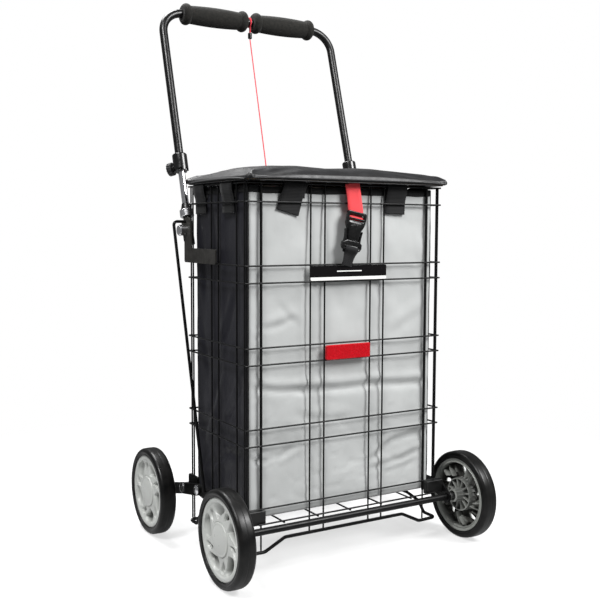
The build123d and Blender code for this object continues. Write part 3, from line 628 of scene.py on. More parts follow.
def studio():
    """White backdrop, a dimmer light all round, three lamps, and a floor that fades out around the cart."""
    scene = bpy.context.scene
    scene.view_settings.view_transform = "Standard"
    world = bpy.data.worlds.new("studio")
    scene.world = world
    world.use_nodes = True
    tree = world.node_tree
    lit, seen = tree.nodes["Background"], tree.nodes.new("ShaderNodeBackground")
    lit.inputs["Color"].default_value = (0.97, 0.98, 1.0, 1)
    lit.inputs["Strength"].default_value = 0.20
    seen.inputs["Color"].default_value = (1, 1, 1, 1)
    seen.inputs["Strength"].default_value = 1.0
    pick = tree.nodes.new("ShaderNodeMixShader")
    tree.links.new(tree.nodes.new("ShaderNodeLightPath").outputs["Is Camera Ray"], pick.inputs[0])
    tree.links.new(lit.outputs[0], pick.inputs[1])
    tree.links.new(seen.outputs[0], pick.inputs[2])
    tree.links.new(pick.outputs[0], tree.nodes["World Output"].inputs["Surface"])
    area_light("key_light", (0.95, -1.45, 1.8), (0, 0, 0.5), 1.0, 66)
    area_light("fill_light", (-1.4, -0.9, 2.5), (0, 0, 0.4), 0.8, 60)
    area_light("top_light", (-0.3, 1.1, 2.5), (0, 0, 0.6), 1.2, 70)
    floor = Shape()
    reach = 6000
    floor.grid([[(-reach, -reach, 0), (reach, -reach, 0)], [(-reach, reach, 0), (reach, reach, 0)]])
    ground = Finish("studio_floor", Roughness=0.9, Specular_IOR_Level=0.05, Emission_Strength=0.12)
    ground.shader.inputs["Emission Color"].default_value = (1, 1, 1, 1)
    ground.colours(ground.noise(3, 2), grey(0.84), grey(0.86))
    away = ground.node("VectorMath", {0: ground.place}, operation="LENGTH").outputs["Value"]
    ground.tree.links.new(ground.spread(away, 0.4, 0.0, 0.40, 1.15), ground.shader.inputs["Alpha"])
    floor.build("floor", ground.material, mend=False)


studio()


# ---- seat pad ----
def slab_mesh(name, low, high, voxel):
    """A closed block, remeshed into even small faces."""
    shape = Shape()
    corners = [(x, y, z) for z in (low[2], high[2]) for y in (low[1], high[1]) for x in (low[0], high[0])]
    shape.add(corners, [(0, 2, 3, 1), (4, 5, 7, 6), (0, 1, 5, 4), (2, 6, 7, 3), (0, 4, 6, 2), (1, 3, 7, 5)])
    block = shape.build(name, VINYL, smooth=False)
    remesh = block.modifiers.new("remesh", "REMESH")
    remesh.mode = "VOXEL"
    remesh.voxel_size = voxel * MM
    apply_modifiers(block)
    return block


def coordinates(piece):
    found = np.empty(len(piece.data.vertices) * 3)
    piece.data.vertices.foreach_get("co", found)
    return found.reshape(-1, 3) / MM


def set_coordinates(piece, points):
    piece.data.vertices.foreach_set("co", (points * MM).ravel())
    piece.data.update()


def inflate(piece, pinned, pressure, most):
    """Blows the closed piece up as cloth. A point moves by most millimetres at the most."""
    frames = 20
    rest = coordinates(piece)
    group = piece.vertex_groups.new(name="pin")
    group.add([int(i) for i in np.flatnonzero(pinned)], 1.0, "REPLACE")
    cloth = piece.modifiers.new("cloth", "CLOTH")
    sheet = cloth.settings
    sheet.quality = 6
    sheet.mass = 0.25
    sheet.tension_stiffness = sheet.compression_stiffness = 18
    sheet.bending_stiffness = 0.6
    sheet.use_pressure = True
    sheet.uniform_pressure_force = pressure
    sheet.vertex_group_mass = "pin"
    sheet.effector_weights.gravity = 0
    cloth.collision_settings.use_collision = False
    cloth.point_cache.frame_start = 1
    cloth.point_cache.frame_end = frames
    for step in range(1, frames + 1):
        bpy.context.scene.frame_set(step)
    apply_modifiers(piece)
    bpy.context.scene.frame_set(1)
    piece.vertex_groups.clear()
    moved = coordinates(piece) - rest
    far = np.linalg.norm(moved, axis=1, keepdims=True)
    set_coordinates(piece, rest + moved * np.minimum(1, most / np.maximum(far, 1e-6)))


PAD_MID = [(a + b) / 2 for a, b in zip(PAD_LOW, PAD_HIGH)]
PAD_HALF = [(b - a) / 2 for a, b in zip(PAD_LOW, PAD_HIGH)]
PAD_SHRINK = 4.0        # how much smaller the block starts, before it is blown up
PAD_ROLL = 6.5          # radius of the rolled edge
ROLL_START, ROLL_TURN = -65, 125    # degrees: where the roll starts, under the board, and how far it turns
ROLL_REACH = 40         # how far in from the edge the roll pulls the vinyl
CROWN_RISE = 13.0       # height of the crown over the roll
CROWN_OVAL = 3.4        # power of the boxy oval that the crown falls away by
PAD_PLAN_CORNER = 13.0  # radius of the pad's corners in plan
PAD_CROWN = 30.5        # height of the crown's highest point
# Hollows and lumps of the foam: place, height and reach.
PAD_LUMPS = [
    (-112, -62, 2.6, 52), (-18, -96, -2.8, 36), (52, -78, 1.8, 34), (112, -84, -2.0, 34), (158, -40, 1.2, 30),
    (-150, 30, -1.4, 44), (40, 36, -1.6, 60), (120, 48, 1.2, 40)]


def pad_profile(p):
    """Shapes the block: a rolled edge, tucked under at the board, round a softly crowned top."""
    local = p[:, :2] - np.array(PAD_MID[:2])
    half = np.array(PAD_HALF[:2]) - PAD_SHRINK
    beyond = np.abs(local) - (half - PAD_PLAN_CORNER)
    outside = np.maximum(beyond, 0)
    reach = np.linalg.norm(outside, axis=1)
    inside = np.minimum(np.maximum(beyond[:, 0], beyond[:, 1]), 0)
    depth = PAD_PLAN_CORNER - reach - inside
    straight = np.where((beyond[:, :1] > beyond[:, 1:]), [[1.0, 0.0]], [[0.0, 1.0]])
    rounding = outside / np.maximum(reach, 1e-6)[:, None]
    outward = np.where(reach[:, None] > 1e-6, rounding, straight) * np.sign(local)
    height = (p[:, 2] - p[:, 2].min()) / (p[:, 2].max() - p[:, 2].min())
    arc = np.radians(ROLL_START + ROLL_TURN * height)
    start = PAD_ROLL * (1 - np.cos(arc))
    depth_now = np.maximum(depth, 0)
    pulled = start + depth_now * (1 - start / ROLL_REACH)
    moved = np.where(depth_now < ROLL_REACH, pulled, depth_now)
    out = p.copy()
    out[:, :2] -= outward * (moved - depth)[:, None]
    u = np.abs(out[:, 0] - PAD_MID[0]) / PAD_HALF[0]
    v = np.abs(out[:, 1] - PAD_MID[1]) / PAD_HALF[1]
    from_middle = np.clip((u ** CROWN_OVAL + v ** CROWN_OVAL) ** (1 / CROWN_OVAL), 0, 1)
    crown = CROWN_RISE * (1 - from_middle ** 2.6) ** 0.9
    short = np.clip(PAD_ROLL - moved, 0, PAD_ROLL)
    top = PAD_ROLL + np.sqrt(PAD_ROLL ** 2 - short ** 2) + crown
    side = PAD_ROLL * (1 + np.sin(arc))
    out[:, 2] = PAD_LOW[2] + np.where(height > 0.97, top, side)
    out[:, 0] -= np.sign(local[:, 0]) * 1.8 * (1 - v ** 2) * np.clip(u, 0, 1) ** 6
    out[:, 1] -= np.sign(local[:, 1]) * 1.4 * (1 - u ** 2) * np.clip(v, 0, 1) ** 6
    return out


def pleat(p, corner, inward):
    """Gathers the vinyl at a corner: folds run in from the corner's lower edge."""
    across = np.array([-inward[1], inward[0]])
    offset = p[:, :2] - corner
    along = offset @ inward
    side = offset @ across
    out = p.copy()
    gather = 44
    reach = np.clip(1 - along / gather, 0, 1)
    near = reach ** 1.3 * (np.abs(side) < gather)
    for place, depth, width in ((0.0, 6.0, 2.4), (15.0, 2.2, 3.0), (-14.0, 2.0, 3.2)):
        groove = np.exp(-((side - place * (0.35 + 0.65 * reach)) / width) ** 2)
        puff = np.exp(-((np.abs(side - place) - 8) / 5.0) ** 2)
        push = (depth * groove - 0.28 * depth * puff) * near
        out[:, 0] += inward[0] * push
        out[:, 1] += inward[1] * push
        out[:, 2] -= 0.30 * push
    return out


def seat_pad():
    """The seat: foam under vinyl, blown up by a cloth simulation over the lid board."""
    low = [PAD_LOW[0] + PAD_SHRINK, PAD_LOW[1] + PAD_SHRINK, PAD_LOW[2]]
    high = [c - PAD_SHRINK for c in PAD_HIGH]
    pad = slab_mesh("seat_pad", low, high, 4.2)
    set_coordinates(pad, pad_profile(coordinates(pad)))
    p = coordinates(pad)
    inflate(pad, p[:, 2] < PAD_LOW[2] + 1.6, 4.0, 5.0)
    subdivide = pad.modifiers.new("subdivide", "SUBSURF")
    subdivide.levels = subdivide.render_levels = 1
    apply_modifiers(pad)
    p = coordinates(pad)
    raised = np.clip((p[:, 2] - PAD_LOW[2] - 9) / 12, 0, 1)
    p[:, 2] += raised * np.array([
        1.1 * noise.noise(Vector((x * 0.012 + 3.1, y * 0.014, 4.2)))
        + 0.8 * noise.noise(Vector((x * 0.035, y * 0.035, 9.7))) for x, y, _ in p])
    for x, y, lift, reach in PAD_LUMPS:
        far = ((p[:, 0] - x) ** 2 + (p[:, 1] - y) ** 2) / reach ** 2
        p[:, 2] += lift * raised * np.exp(-far)
    for sx in (-1, 1):
        for sy in (-1, 1):
            corner = np.array([PAD_MID[0] + sx * PAD_HALF[0], PAD_MID[1] + sy * PAD_HALF[1]])
            inward = np.array([-sx, -sy]) / math.sqrt(2)
            p = pleat(p, corner, inward)
    span = p.max(axis=0) - p.min(axis=0)
    target = np.array([2 * PAD_HALF[0], 2 * PAD_HALF[1], PAD_CROWN])
    p = (p - p.min(axis=0)) / span * target + np.array(PAD_LOW)
    under = (p[:, 2] < BOARD_LOW[2] + 1.5) & (p[:, 0] > BOARD_LOW[0] + 2) & (p[:, 0] < BOARD_HIGH[0] - 2)
    under &= (p[:, 1] > BOARD_LOW[1] + 2) & (p[:, 1] < BOARD_HIGH[1] - 2)
    p[under, 2] = BOARD_LOW[2] + 2.5
    set_coordinates(pad, p)
    pad.data.shade_smooth()
    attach(pad, "lid")
    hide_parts("seat_cushion")


def lid_hem():
    """The vinyl turned under the board, and the staples that hold it."""
    hem = Shape()
    top = BOARD_LOW[2] - 0.1
    bottom = top - 1.0
    inner_edge = 27.0
    rings = []
    section = [
        (1.5, top), (1.5, bottom), (14, bottom - 0.1), (inner_edge, bottom + 0.1), (inner_edge, top)]
    for inset, z in section:
        ring = []
        for a in turns(240):
            wobble = 1.2 * math.sin(7 * a) + 0.8 * math.sin(17 * a + 1) if inset == inner_edge else 0
            x, y = boxy(a, PAD_HALF[0] - inset - wobble, PAD_HALF[1] - inset - wobble, 14)
            ring.append((PAD_MID[0] + x, PAD_MID[1] + y, z))
        rings.append(ring)
    hem.grid(rings, wrap_across=True, wrap_along=True)
    hem.build("lid_hem", VINYL, "lid")
    staples = Shape()
    inset, pitch = 20, 43
    staple = [(-5, 0.6), (-4.6, 0.05), (4.6, 0.05), (5, 0.6)]
    places = []
    for k in range(-4, 5):
        x = PAD_MID[0] + k * pitch
        places += [(x, PAD_LOW[1] + inset, 1, 0), (x, PAD_HIGH[1] - inset, 1, 0)]
    for k in range(-2, 3):
        y = PAD_MID[1] + k * pitch
        places += [(PAD_LOW[0] + inset, y, 0, 1), (PAD_HIGH[0] - inset, y, 0, 1)]
    for x, y, dx, dy in places:
        staples.tube([(x + dx * t, y + dy * t, bottom + up) for t, up in staple], 0.32, sides=6)
    staples.build("lid_staples", ZINC, "lid")


seat_pad()
lid_hem()


# ---- shopping bag ----
FRONT, RIGHT, REAR, LEFT = range(4)
BAG_CORNER = 7.0
BAND_HEIGHT = 11.0
SAG, SAG_SPAN, SAG_REACH = 2.2, 105, 40     # droop of the top edge, its span and how far down it reaches
CORNER_REACH, FOOT_REACH = 26, 30           # how far the corners and the base hold the walls flat
FOLD_WIDTH, FOLD_DEPTH = 0.72, 0.95         # shares of a fold's width and depth that the cloth takes
# Folds of the front: from (x, z) to (x, z), how deep, how wide, and where its roll of cloth lies.
FRONT_FOLDS = [
    (-196, 321, -95, 308, 3.2, 9, 1), (-95, 308, 60, 306, 4.0, 10, 1), (60, 306, 189, 301, 3.6, 10, 1),
    (-79, 560, -78, 330, 2.6, 7, -1), (-78, 300, -74, 120, 2.2, 8, -1),
    (-40, 640, -46, 530, 1.8, 12, 1), (-94, 262, 0, 245, 1.6, 12, 1),
    (-196, 203, -166, 192, 4.6, 6, 1), (-168, 192, -96, 212, 2.6, 7, -1), (-166, 180, -128, 196, 1.6, 6, 1),
    (189, 204, 108, 197, 3.6, 9, -1), (110, 197, 58, 164, 3.0, 9, -1), (60, 150, 172, 172, 2.4, 8, 1),
    (88, 140, 160, 152, 1.4, 7, 1), (-168, 418, -112, 430, 1.8, 9, 1), (-130, 452, -100, 425, 1.2, 8, 1),
    (-190, 408, -176, 404, 2.2, 6, 1), (-192, 300, -178, 309, 2.0, 6, -1), (66, 620, 70, 470, 1.4, 9, 1),
    (110, 400, 180, 440, 1.2, 14, 1), (-30, 215, 40, 222, 1.2, 14, -1), (150, 560, 176, 470, 1.2, 12, 1)]
SIDE_FOLDS = [
    (60, 640, 30, 470, 3.0, 13, 1), (-10, 600, -20, 360, 2.4, 15, -1), (-90, 470, -40, 385, 2.6, 10, 1),
    (-118, 330, -60, 255, 2.8, 9, 1), (-30, 330, 40, 205, 2.4, 12, -1), (56, 430, 20, 330, 2.0, 12, 1),
    (-120, 205, -70, 196, 3.2, 8, 1), (-70, 196, 10, 160, 2.4, 9, -1), (30, 170, 60, 120, 2.0, 9, 1)]
REAR_FOLDS = [
    (-150, 600, -120, 380, 2.6, 16, 1), (40, 620, 60, 420, 2.4, 14, -1), (-190, 310, 180, 296, 3.4, 12, 1),
    (-60, 250, 80, 160, 2.8, 12, 1), (120, 240, 180, 170, 2.4, 10, -1), (-170, 200, -90, 140, 2.4, 10, 1)]
BAG_FOLDS = {FRONT: FRONT_FOLDS, LEFT: SIDE_FOLDS, REAR: REAR_FOLDS,
             RIGHT: [(-t0 - 76, z0, -t1 - 76, z1, d, w, -k) for t0, z0, t1, z1, d, w, k in SIDE_FOLDS]}


def bag_outline():
    """Points round the bag: (x, y, normal x, normal y, side, place along it, nearness to its middle)."""
    x0, x1, y0, y1 = BAG_LOW[0], BAG_HIGH[0], BAG_LOW[1], BAG_HIGH[1]
    r, pitch = BAG_CORNER, 4.6
    # Each wall's ends and its normal, in the order of the sides.
    walls = [
        ((x0 + r, y0), (x1 - r, y0), (0, -1)), ((x1, y0 + r), (x1, y1 - r), (1, 0)),
        ((x1 - r, y1), (x0 + r, y1), (0, 1)), ((x0, y1 - r), (x0, y0 + r), (-1, 0))]
    found = []

    def put(x, y, normal, side, near):
        found.append((x, y, *normal, side, x if side in (FRONT, REAR) else y, near))

    for side, (start, end, normal) in enumerate(walls):
        length = math.dist(start, end)
        steps = int(length / pitch)
        for k in range(steps):
            t = (k + 0.5) / steps
            x, y = (a + (b - a) * t for a, b in zip(start, end))
            put(x, y, normal, side, smooth_step(min(t, 1 - t) * length / CORNER_REACH))
        for k in range(7):
            a = math.radians(90 * (side - 1) + 90 * k / 6)
            turned_to = math.cos(a), math.sin(a)
            x, y = (c + r * (now - before) for c, now, before in zip(end, turned_to, normal))
            put(x, y, turned_to, side if k < 3 else (side + 1) % 4, 0.0)
    return found


def fold_depth(side, t, z):
    """How far the cloth stands out (or in, below zero) at a place on a side, from its folds."""
    depth = 0.0
    for t0, z0, t1, z1, deep, wide, roll in BAG_FOLDS[side]:
        run_t, run_z = t1 - t0, z1 - z0
        length = math.hypot(run_t, run_z)
        wide = FOLD_WIDTH * wide
        along = ((t - t0) * run_t + (z - z0) * run_z) / length
        across = ((t - t0) * -run_z + (z - z0) * run_t) / length
        bow = 2.5 * math.sin(math.pi * max(0, min(1, along / length)))
        across = (across + bow) * roll
        if along < -26 or along > length + 26 or abs(across) > 5 * wide:
            continue
        fade = smooth_step((along + 22) / 36) * smooth_step((length + 22 - along) / 36)
        valley = math.exp(-(across / wide) ** 2)
        ridge = math.exp(-((across - 1.7 * wide) / (1.3 * wide)) ** 2)
        depth += fade * FOLD_DEPTH * deep * (0.75 * ridge - valley)
    return depth


def bag_swell(side, t, z, near):
    """Slack of a bag wall: folds, a broad sag and small ripples. near is 0 at the bag's corners."""
    height = (z - BAG_LOW[2]) / (BAG_HIGH[2] - BAG_LOW[2])
    place = Vector((t * 0.012, z * 0.010, side * 7.3))
    broad = 2.6 * noise.noise(place) + 1.1 * noise.noise(place * 2.6)
    small = 0.35 * noise.noise(Vector((t * 0.07, z * 0.05, side * 3.1 + 20)))
    crease = abs(noise.noise(Vector((t * 0.022 + z * 0.010, z * 0.030 - t * 0.008, side * 5.7 + 3))))
    small -= 1.1 * smooth_step((0.07 - crease) / 0.07) * smooth_step((420 - z) / 260) * near
    hollow = -2.6 * math.sin(math.pi * min(1, height * 1.05)) ** 0.7 * near
    calm = smooth_step((BAG_HIGH[2] - z) / 60)
    swell = hollow + (broad * 0.9 + fold_depth(side, t, z)) * (0.25 + 0.75 * near) * calm + small
    limit = 0.9 if side in (FRONT, LEFT, RIGHT) else 3.0
    return min(swell, limit + 0.15 * max(0, swell - limit)) if swell > limit else swell


def droop(t, up, near):
    """How far the cloth sags between its tabs, at a height above the bag's top edge."""
    share = max(0, min(1, (up + SAG_REACH) / SAG_REACH))
    return SAG * (0.5 - 0.5 * math.cos(2 * math.pi * t / SAG_SPAN)) * near * share


def wall_spot(point, z, inset=0.0):
    """A point of the bag's wall at this height."""
    x, y, nx, ny, side, t, near = point
    swell = bag_swell(side, t, z, near) * smooth_step((z - BAG_LOW[2]) / FOOT_REACH) - inset
    return Vector((x + nx * swell, y + ny * swell, z))


def edge_spot(point, out, up):
    """A point this far out of the wall and above the bag's top edge, sagging with the edge."""
    x, y, nx, ny, side, t, near = point
    z1 = BAG_HIGH[2]
    swell = bag_swell(side, t, min(z1 + up, z1), near) + out
    return Vector((x + nx * swell, y + ny * swell, z1 + up - droop(t, up, near)))


def bag_shell():
    """The bag's walls and base, one skin of cloth given its thickness."""
    outline = bag_outline()
    z0, z1 = BAG_LOW[2], BAG_HIGH[2]
    mid_x = (BAG_LOW[0] + BAG_HIGH[0]) / 2
    mid_y = (BAG_LOW[1] + BAG_HIGH[1]) / 2
    curl, rows_up = 7.0, 118
    levels = []
    for a in map(math.radians, (0, 22, 45, 67)):
        levels.append((z0 + curl * (1 - math.cos(a)), curl * (1 - math.sin(a))))
    levels += [(z0 + curl + (z1 - z0 - curl) * k / rows_up, 0.0) for k in range(rows_up + 1)]
    rows = []
    for z, inset in levels:
        sags = [Vector((0, 0, droop(t, z - z1, near))) for *_, t, near in outline]
        rows.append([wall_spot(point, z, inset) - sag for point, sag in zip(outline, sags)])
    shape = Shape()
    count = len(outline)
    for i in range(len(rows) - 1):
        for j in range(count):
            k = (j + 1) % count
            front = outline[j][4] == FRONT and outline[k][4] == FRONT
            corners = [rows[i][j], rows[i][k], rows[i + 1][k], rows[i + 1][j]]
            shape.add(corners, [(0, 1, 2, 3)], 0 if front else 1)
    steps = 14
    base_rows = [rows[0]]
    for s in range(1, steps + 1):
        share = 1 - s / steps
        ring = []
        for x, y, _ in rows[0]:
            bx, by = mid_x + (x - mid_x) * share, mid_y + (y - mid_y) * share
            slack = 0.8 * noise.noise(Vector((bx * 0.03, by * 0.03, 1.7)))
            ring.append((bx, by, z0 - 0.4 + slack * min(1, 4 * (1 - share))))
        base_rows.append(ring)
    shape.grid(base_rows[::-1], wrap_across=True)
    bag = shape.build("bag_shell", [BAG_GREY, BAG_BLACK], "frame")
    thick = bag.modifiers.new("cloth", "SOLIDIFY")
    thick.thickness = 1.0 * MM
    thick.offset = -1
    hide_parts("shopping_bag")
    return outline


def bag_trim(outline):
    """The black band bound over the bag's top edge, its stitches and the seams at the corners."""
    low, high = -BAND_HEIGHT, BAG_HIGH[2] - BAND_HEIGHT
    section = [
        (0.45, low), (1.0, low + 0.4), (1.05, low / 2), (1.0, -1.0), (0.4, 0.4), (-0.8, 0.8), (-2.0, 0.4),
        (-2.4, -1.0), (-2.4, low + 0.5), (-1.9, low), (-1.4, low / 2), (0.1, low / 2)]
    band = Shape()
    band.grid([[edge_spot(point, out, up) for out, up in section] for point in outline],
              wrap_across=True, wrap_along=True)
    band.build("bag_band", BINDING, "frame")
    thread = Shape()
    for up in (low + 2.2, low + 5.0):
        for point, after in zip(outline[:-1], outline[1:]):
            start = edge_spot(point, 1.12, up)
            end = start.lerp(edge_spot(after, 1.12, up), 0.72)
            if (end - start).length > 1.2:
                thread.tube([start, end], 0.3, sides=5)
    thread.build("bag_stitches", THREAD, "frame")
    piping = Shape()
    foot, steps = BAG_LOW[2] + 8, 110
    heights = [foot + (high - foot) * n / steps for n in range(steps + 1)]
    for before, point in zip(outline[-1:] + outline[:-1], outline):
        if before[4] != point[4]:
            piping.tube([wall_spot(point, z, -0.1) for z in heights], 0.95, sides=8)
    piping.build("bag_piping", BINDING, "frame")


bag_trim(bag_shell())


# ---- tabs that hang the bag on the rim ----
def tab_path(wire, inner, reach):
    """Section of a tab, as (outward, up): from the bag, over the rim wire and in behind the next wire."""
    inside = [(0.4, -24), (0.6, -8), (1.4, 0.6)]
    outside = [
        (-2.6, 2.2), (-0.6, 2.55), (1.4, 1.9), (2.5, 0.2), (2.5, -5), (1.2, -13), (-1.6, -22), (-2.7, -29),
        (-2.9, -37), (-3.0, -reach)]
    return [(inner + u, RIM_Z + v) for u, v in inside] + [(wire + u, RIM_Z + v) for u, v in outside]


def tab_places():
    """For each tab: where it hangs, the way out, the rim wire, the bag's wall, its slant and its reach."""
    places = []
    for x, slant in ((-109.0, -13.0), (103.5, -2.0)):
        places.append(((x, 0), (0, -1), -FRONT_WIRE_Y, -BAG_LOW[1] + 0.2, slant, 49))
    for x in (-109.0, 102.0):
        places.append(((x, 0), (0, 1), REAR_WIRE_Y, BAG_HIGH[1] + 7, 0.0, 48))
    for y, slant in ((-77.9, 0.5), (33.1, 0.0)):
        for sx in (-1, 1):
            places.append(((0, y), (sx, 0), SIDE_WIRE_X, -BAG_LOW[0], slant, 50))
    return places


def tabs():
    shape = Shape()
    thread = Shape()
    width, thick = 44.0, 1.0
    for at, out, wire, inner, slant, reach in tab_places():
        across = Vector((1, 0, 0)) if out[0] == 0 else Vector((0, 1, 0))
        path = []
        for u, v in tab_path(wire, inner, reach):
            below = max(0.0, RIM_Z - v) / reach if u > inner + 1.2 else 0
            path.append(Vector((at[0] + out[0] * u, at[1] + out[1] * u, v)) + across * slant * below)
        fine = curved(path, 4)
        twist = 0.16 * slant / 13
        tilt = [across + Vector((0, 0, twist * max(0, k / len(fine) - 0.4))) for k in range(len(fine))]
        shape.ribbon(fine, tilt, width, thick)
        lower = fine[-14:-2]
        for edge in (-width / 2 + 3, width / 2 - 3):
            shift = across * edge + Vector((*out, 0)) * 0.62
            for a, b in zip(lower[:-1], lower[1:]):
                if (b - a).length * 0.6 > 0.8:
                    thread.tube([a + shift, a.lerp(b, 0.6) + shift], 0.28, sides=5)
    cloth = shape.build("bag_tab_tapes", TAB_TAPE, "frame")
    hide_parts("bag_tabs")
    thread.build("tab_stitches", THREAD, "frame")


tabs()


# ---- strap and buckle ----
SOCKET_LOW, SOCKET_HIGH = box_mm("buckle_socket")
STRAP_LOW, STRAP_HIGH = box_mm("lid_strap")
BASKET_STRAP_LOW = box_mm("basket_strap")[0]
BUCKLE_LEAN = math.radians(11.5)
BUCKLE_X, BUCKLE_Z = 4.5, 580.5
BUCKLE_Y = (SOCKET_LOW[1] + SOCKET_HIGH[1]) / 2
STRAP_Y = (STRAP_LOW[1] + STRAP_HIGH[1]) / 2


LEANING = Vector((math.cos(BUCKLE_LEAN), 0, -math.sin(BUCKLE_LEAN)))    # the way across the buckle


def on_buckle(u, v, out):
    """A point of the buckle: u across it, v up along it, out towards the front."""
    c, s = math.cos(BUCKLE_LEAN), math.sin(BUCKLE_LEAN)
    return Vector((BUCKLE_X + u * c + v * s, BUCKLE_Y - out, BUCKLE_Z - u * s + v * c))


def mirrored(half):
    """A closed outline from its right half, listed from top to bottom."""
    return half + [(-u, v, r) for u, v, r in half[::-1]]


def plate(name, outlines, thickness, bevel, lift, body):
    """A flat plate of the buckle with rounded edges: the first outline is its edge, the rest are holes.

    lift is how far the plate's middle lies out of the buckle's plane."""
    lines = [[(u, v, 0) for u, v in outline] for outline in outlines]
    data = curve_mesh(name + "_outline", "2D", lines, fill_mode="BOTH", extrude=thickness / 2 - bevel,
                      bevel_depth=bevel, bevel_resolution=2, offset=-bevel)
    shape = Shape()
    points = [on_buckle(v.co.x, v.co.y, v.co.z + lift) for v in data.vertices]
    shape.add(points, [list(p.vertices) for p in data.polygons])
    return sharpen(shape.build(name, BUCKLE_PLASTIC, body), 40)


def socket():
    """The buckle's upper half: a ladder frame on a tapering socket."""
    frame_edge = rounded(mirrored([(20, 35.5, 4), (20.2, 24, 6), (19.6, 14.2, 3)]))
    gap = rounded(mirrored([(15.4, 30.2, 1.5), (15.4, 19.4, 1.5)]))
    plate("socket_frame", [frame_edge, gap], 6.6, 1.5, 1.0, "lid_strap_body")
    shape = Shape()
    shape.tube([on_buckle(u, 22.9, 3.0) for u in (-16.5, 16.5)], 1.35, sides=16)
    # Half width, height along the buckle and half thickness of each level.
    outline = [
        (19.2, 19.2, 3.4), (19.7, 17.4, 5.0), (19.2, 13.5, 5.7), (17.6, 9.0, 6.0), (14.9, 4.4, 6.0),
        (13.0, -0.6, 5.9), (12.0, -7.0, 5.8), (11.4, -12.6, 5.6), (10.6, -14.6, 4.6)]
    rows = []
    for half, v, tall in outline:
        ring = [boxy(a, half, tall, 4.5) for a in turns(36)]
        rows.append([on_buckle(u, v, w) for u, w in ring])
    shape.grid(rows, wrap_across=True)
    shape.cap(rows[0])
    shape.cap(rows[-1])
    shape.tube([on_buckle(u, 11.8 - 0.02 * u * u, 5.75) for u in range(-12, 13, 2)], 0.55, sides=8)
    body = sharpen(shape.build("socket_body", BUCKLE_PLASTIC, "lid_strap_body"), 50)
    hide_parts("buckle_socket")


def plug():
    """The buckle's lower half: a ladder base, its two prongs and the tongue between them."""
    base_edge = rounded(mirrored([(12.8, -15.0, 2), (20.4, -19.6, 3.5), (20.4, -28, 4), (17, -33, 2.5)]))
    gap = rounded(mirrored([(15.0, -24.6, 1.4), (15.0, -28.8, 1.4)]))
    base = plate("plug_base", [base_edge, gap], 8.4, 2.2, 0.4, "buckle_plug_body")
    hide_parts("buckle_plug")
    prong = [
        (12.6, -19, 1), (17.2, -19, 1), (16.8, -10, 3), (17.6, -3, 2.5), (18.4, 3.4, 1.4), (15.6, 2.4, 1.2),
        (13.4, -6, 3)]
    for name, side in (("left", -1), ("right", 1)):
        edge = rounded([(side * u, v, r) for u, v, r in prong])
        plate("plug_prong_" + name, [edge], 7.0, 1.5, 0.0, "buckle_plug_body")
    tongue = Shape()
    tongue.tube([on_buckle(0, v, 0) for v in (-17, -10, -4)], 2.2, sides=10)
    tongue.build("plug_tongue", BUCKLE_PLASTIC, "buckle_plug_body")


def lid_strap():
    """The red strap: from the lid, through the buckle's frame and back up behind itself."""
    top = Vector((2.5, STRAP_Y, STRAP_HIGH[2] - 0.1))
    through_frame = [
        (31.0, -2.9), (28.2, -1.4), (26.0, 0.2), (23.6, 0.5), (21.4, 0.0), (20.6, -1.6), (21.6, -3.6),
        (25, -4.6), (31, -4.6)]
    entry = on_buckle(0, 36.0, -3.1)
    path = [top, top.lerp(entry, 0.33), top.lerp(entry, 0.7), entry]
    path += [on_buckle(0, v, out) for v, out in through_frame]
    path += [entry.lerp(top, t) + Vector((0, 1.6, 0)) for t in (0.05, 0.3)]
    line = curved(path, 5)
    straight = Vector((1, 0, -0.03))
    turn_z = on_buckle(0, 44, 0)[2]
    across = [straight.lerp(LEANING, smooth_step((turn_z - point[2]) / 12)) for point in line]
    shape = Shape()
    shape.ribbon(line, across, 30.0, 1.4)
    strap = shape.build("red_strap", RED_TAPE, "lid_strap_body")
    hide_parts("lid_strap")


def basket_strap():
    """The black strap: looped through the plug's base, and down to the plate on the basket."""
    foot = Vector((-8, STRAP_Y, BASKET_STRAP_LOW[2] - 1.5))
    through_base = [
        (-37, -3.4), (-33, -4.4), (-29.4, -4.2), (-26.4, -1.0), (-26.6, 3.4), (-29.4, 5.2), (-33, 5.0),
        (-37, 2.4), (-42, 0.2)]
    points = [on_buckle(0, v, out) for v, out in through_base]
    points += [points[-1].lerp(foot, t) for t in (0.35, 0.7, 1.0)]
    line = curved(points, 5)
    across = [LEANING + Vector((0, 0.30 * smooth_step((k - 32) / 16), 0)) for k in range(len(line))]
    shape = Shape()
    shape.ribbon(line, across, 27.0, 1.3)
    strap = shape.build("black_strap", BLACK_TAPE)
    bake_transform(strap)
    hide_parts("basket_strap")


socket()
plug()
lid_strap()
basket_strap()


# ---- wheels ----
SPOKES = 5
STEP = 360 / SPOKES
POCKET, SLOT = 8, 43            # where the first pocket and the first slot lie, in degrees
POCKET_R, SLOT_R = 47, 45       # radii at the middle of the pockets and of the slots
BOSS_R, RING_R = 29.2, 60.2     # radii where the pockets' ground begins and ends
SWIRL = 0.55                    # degrees that the arms turn per millimetre of radius
WALL = 2.0                      # thickness of the moulding
PHASES = {"front_left": 0, "front_right": 44, "rear_left": 36, "rear_right": 12}    # roll in degrees
# The cap's section, as (x outward, radius).
CAP = [
    (9.0, 0.01), (9.0, 28.4), (12.2, 28.4), (12.9, 27.7), (13.2, 26.6), (13.2, 25.4), (12.9, 24.6),
    (13.3, 23.6), (14.2, 14.0), (14.6, 6.0), (14.7, 0.01)]
RINGS = ([9.2, 11, 12.6, 13.4, 16, 20, 24, 27.4, 28.6, 29.2, 29.6, 30.2, 31.0, 31.8, 32.4]
         + [33 + 1.15 * k for k in range(24)] + [60.2, 61.2, 62.0, 62.8, 63.4, 64.6, 66.0, 66.6, 67.8, 68.4])


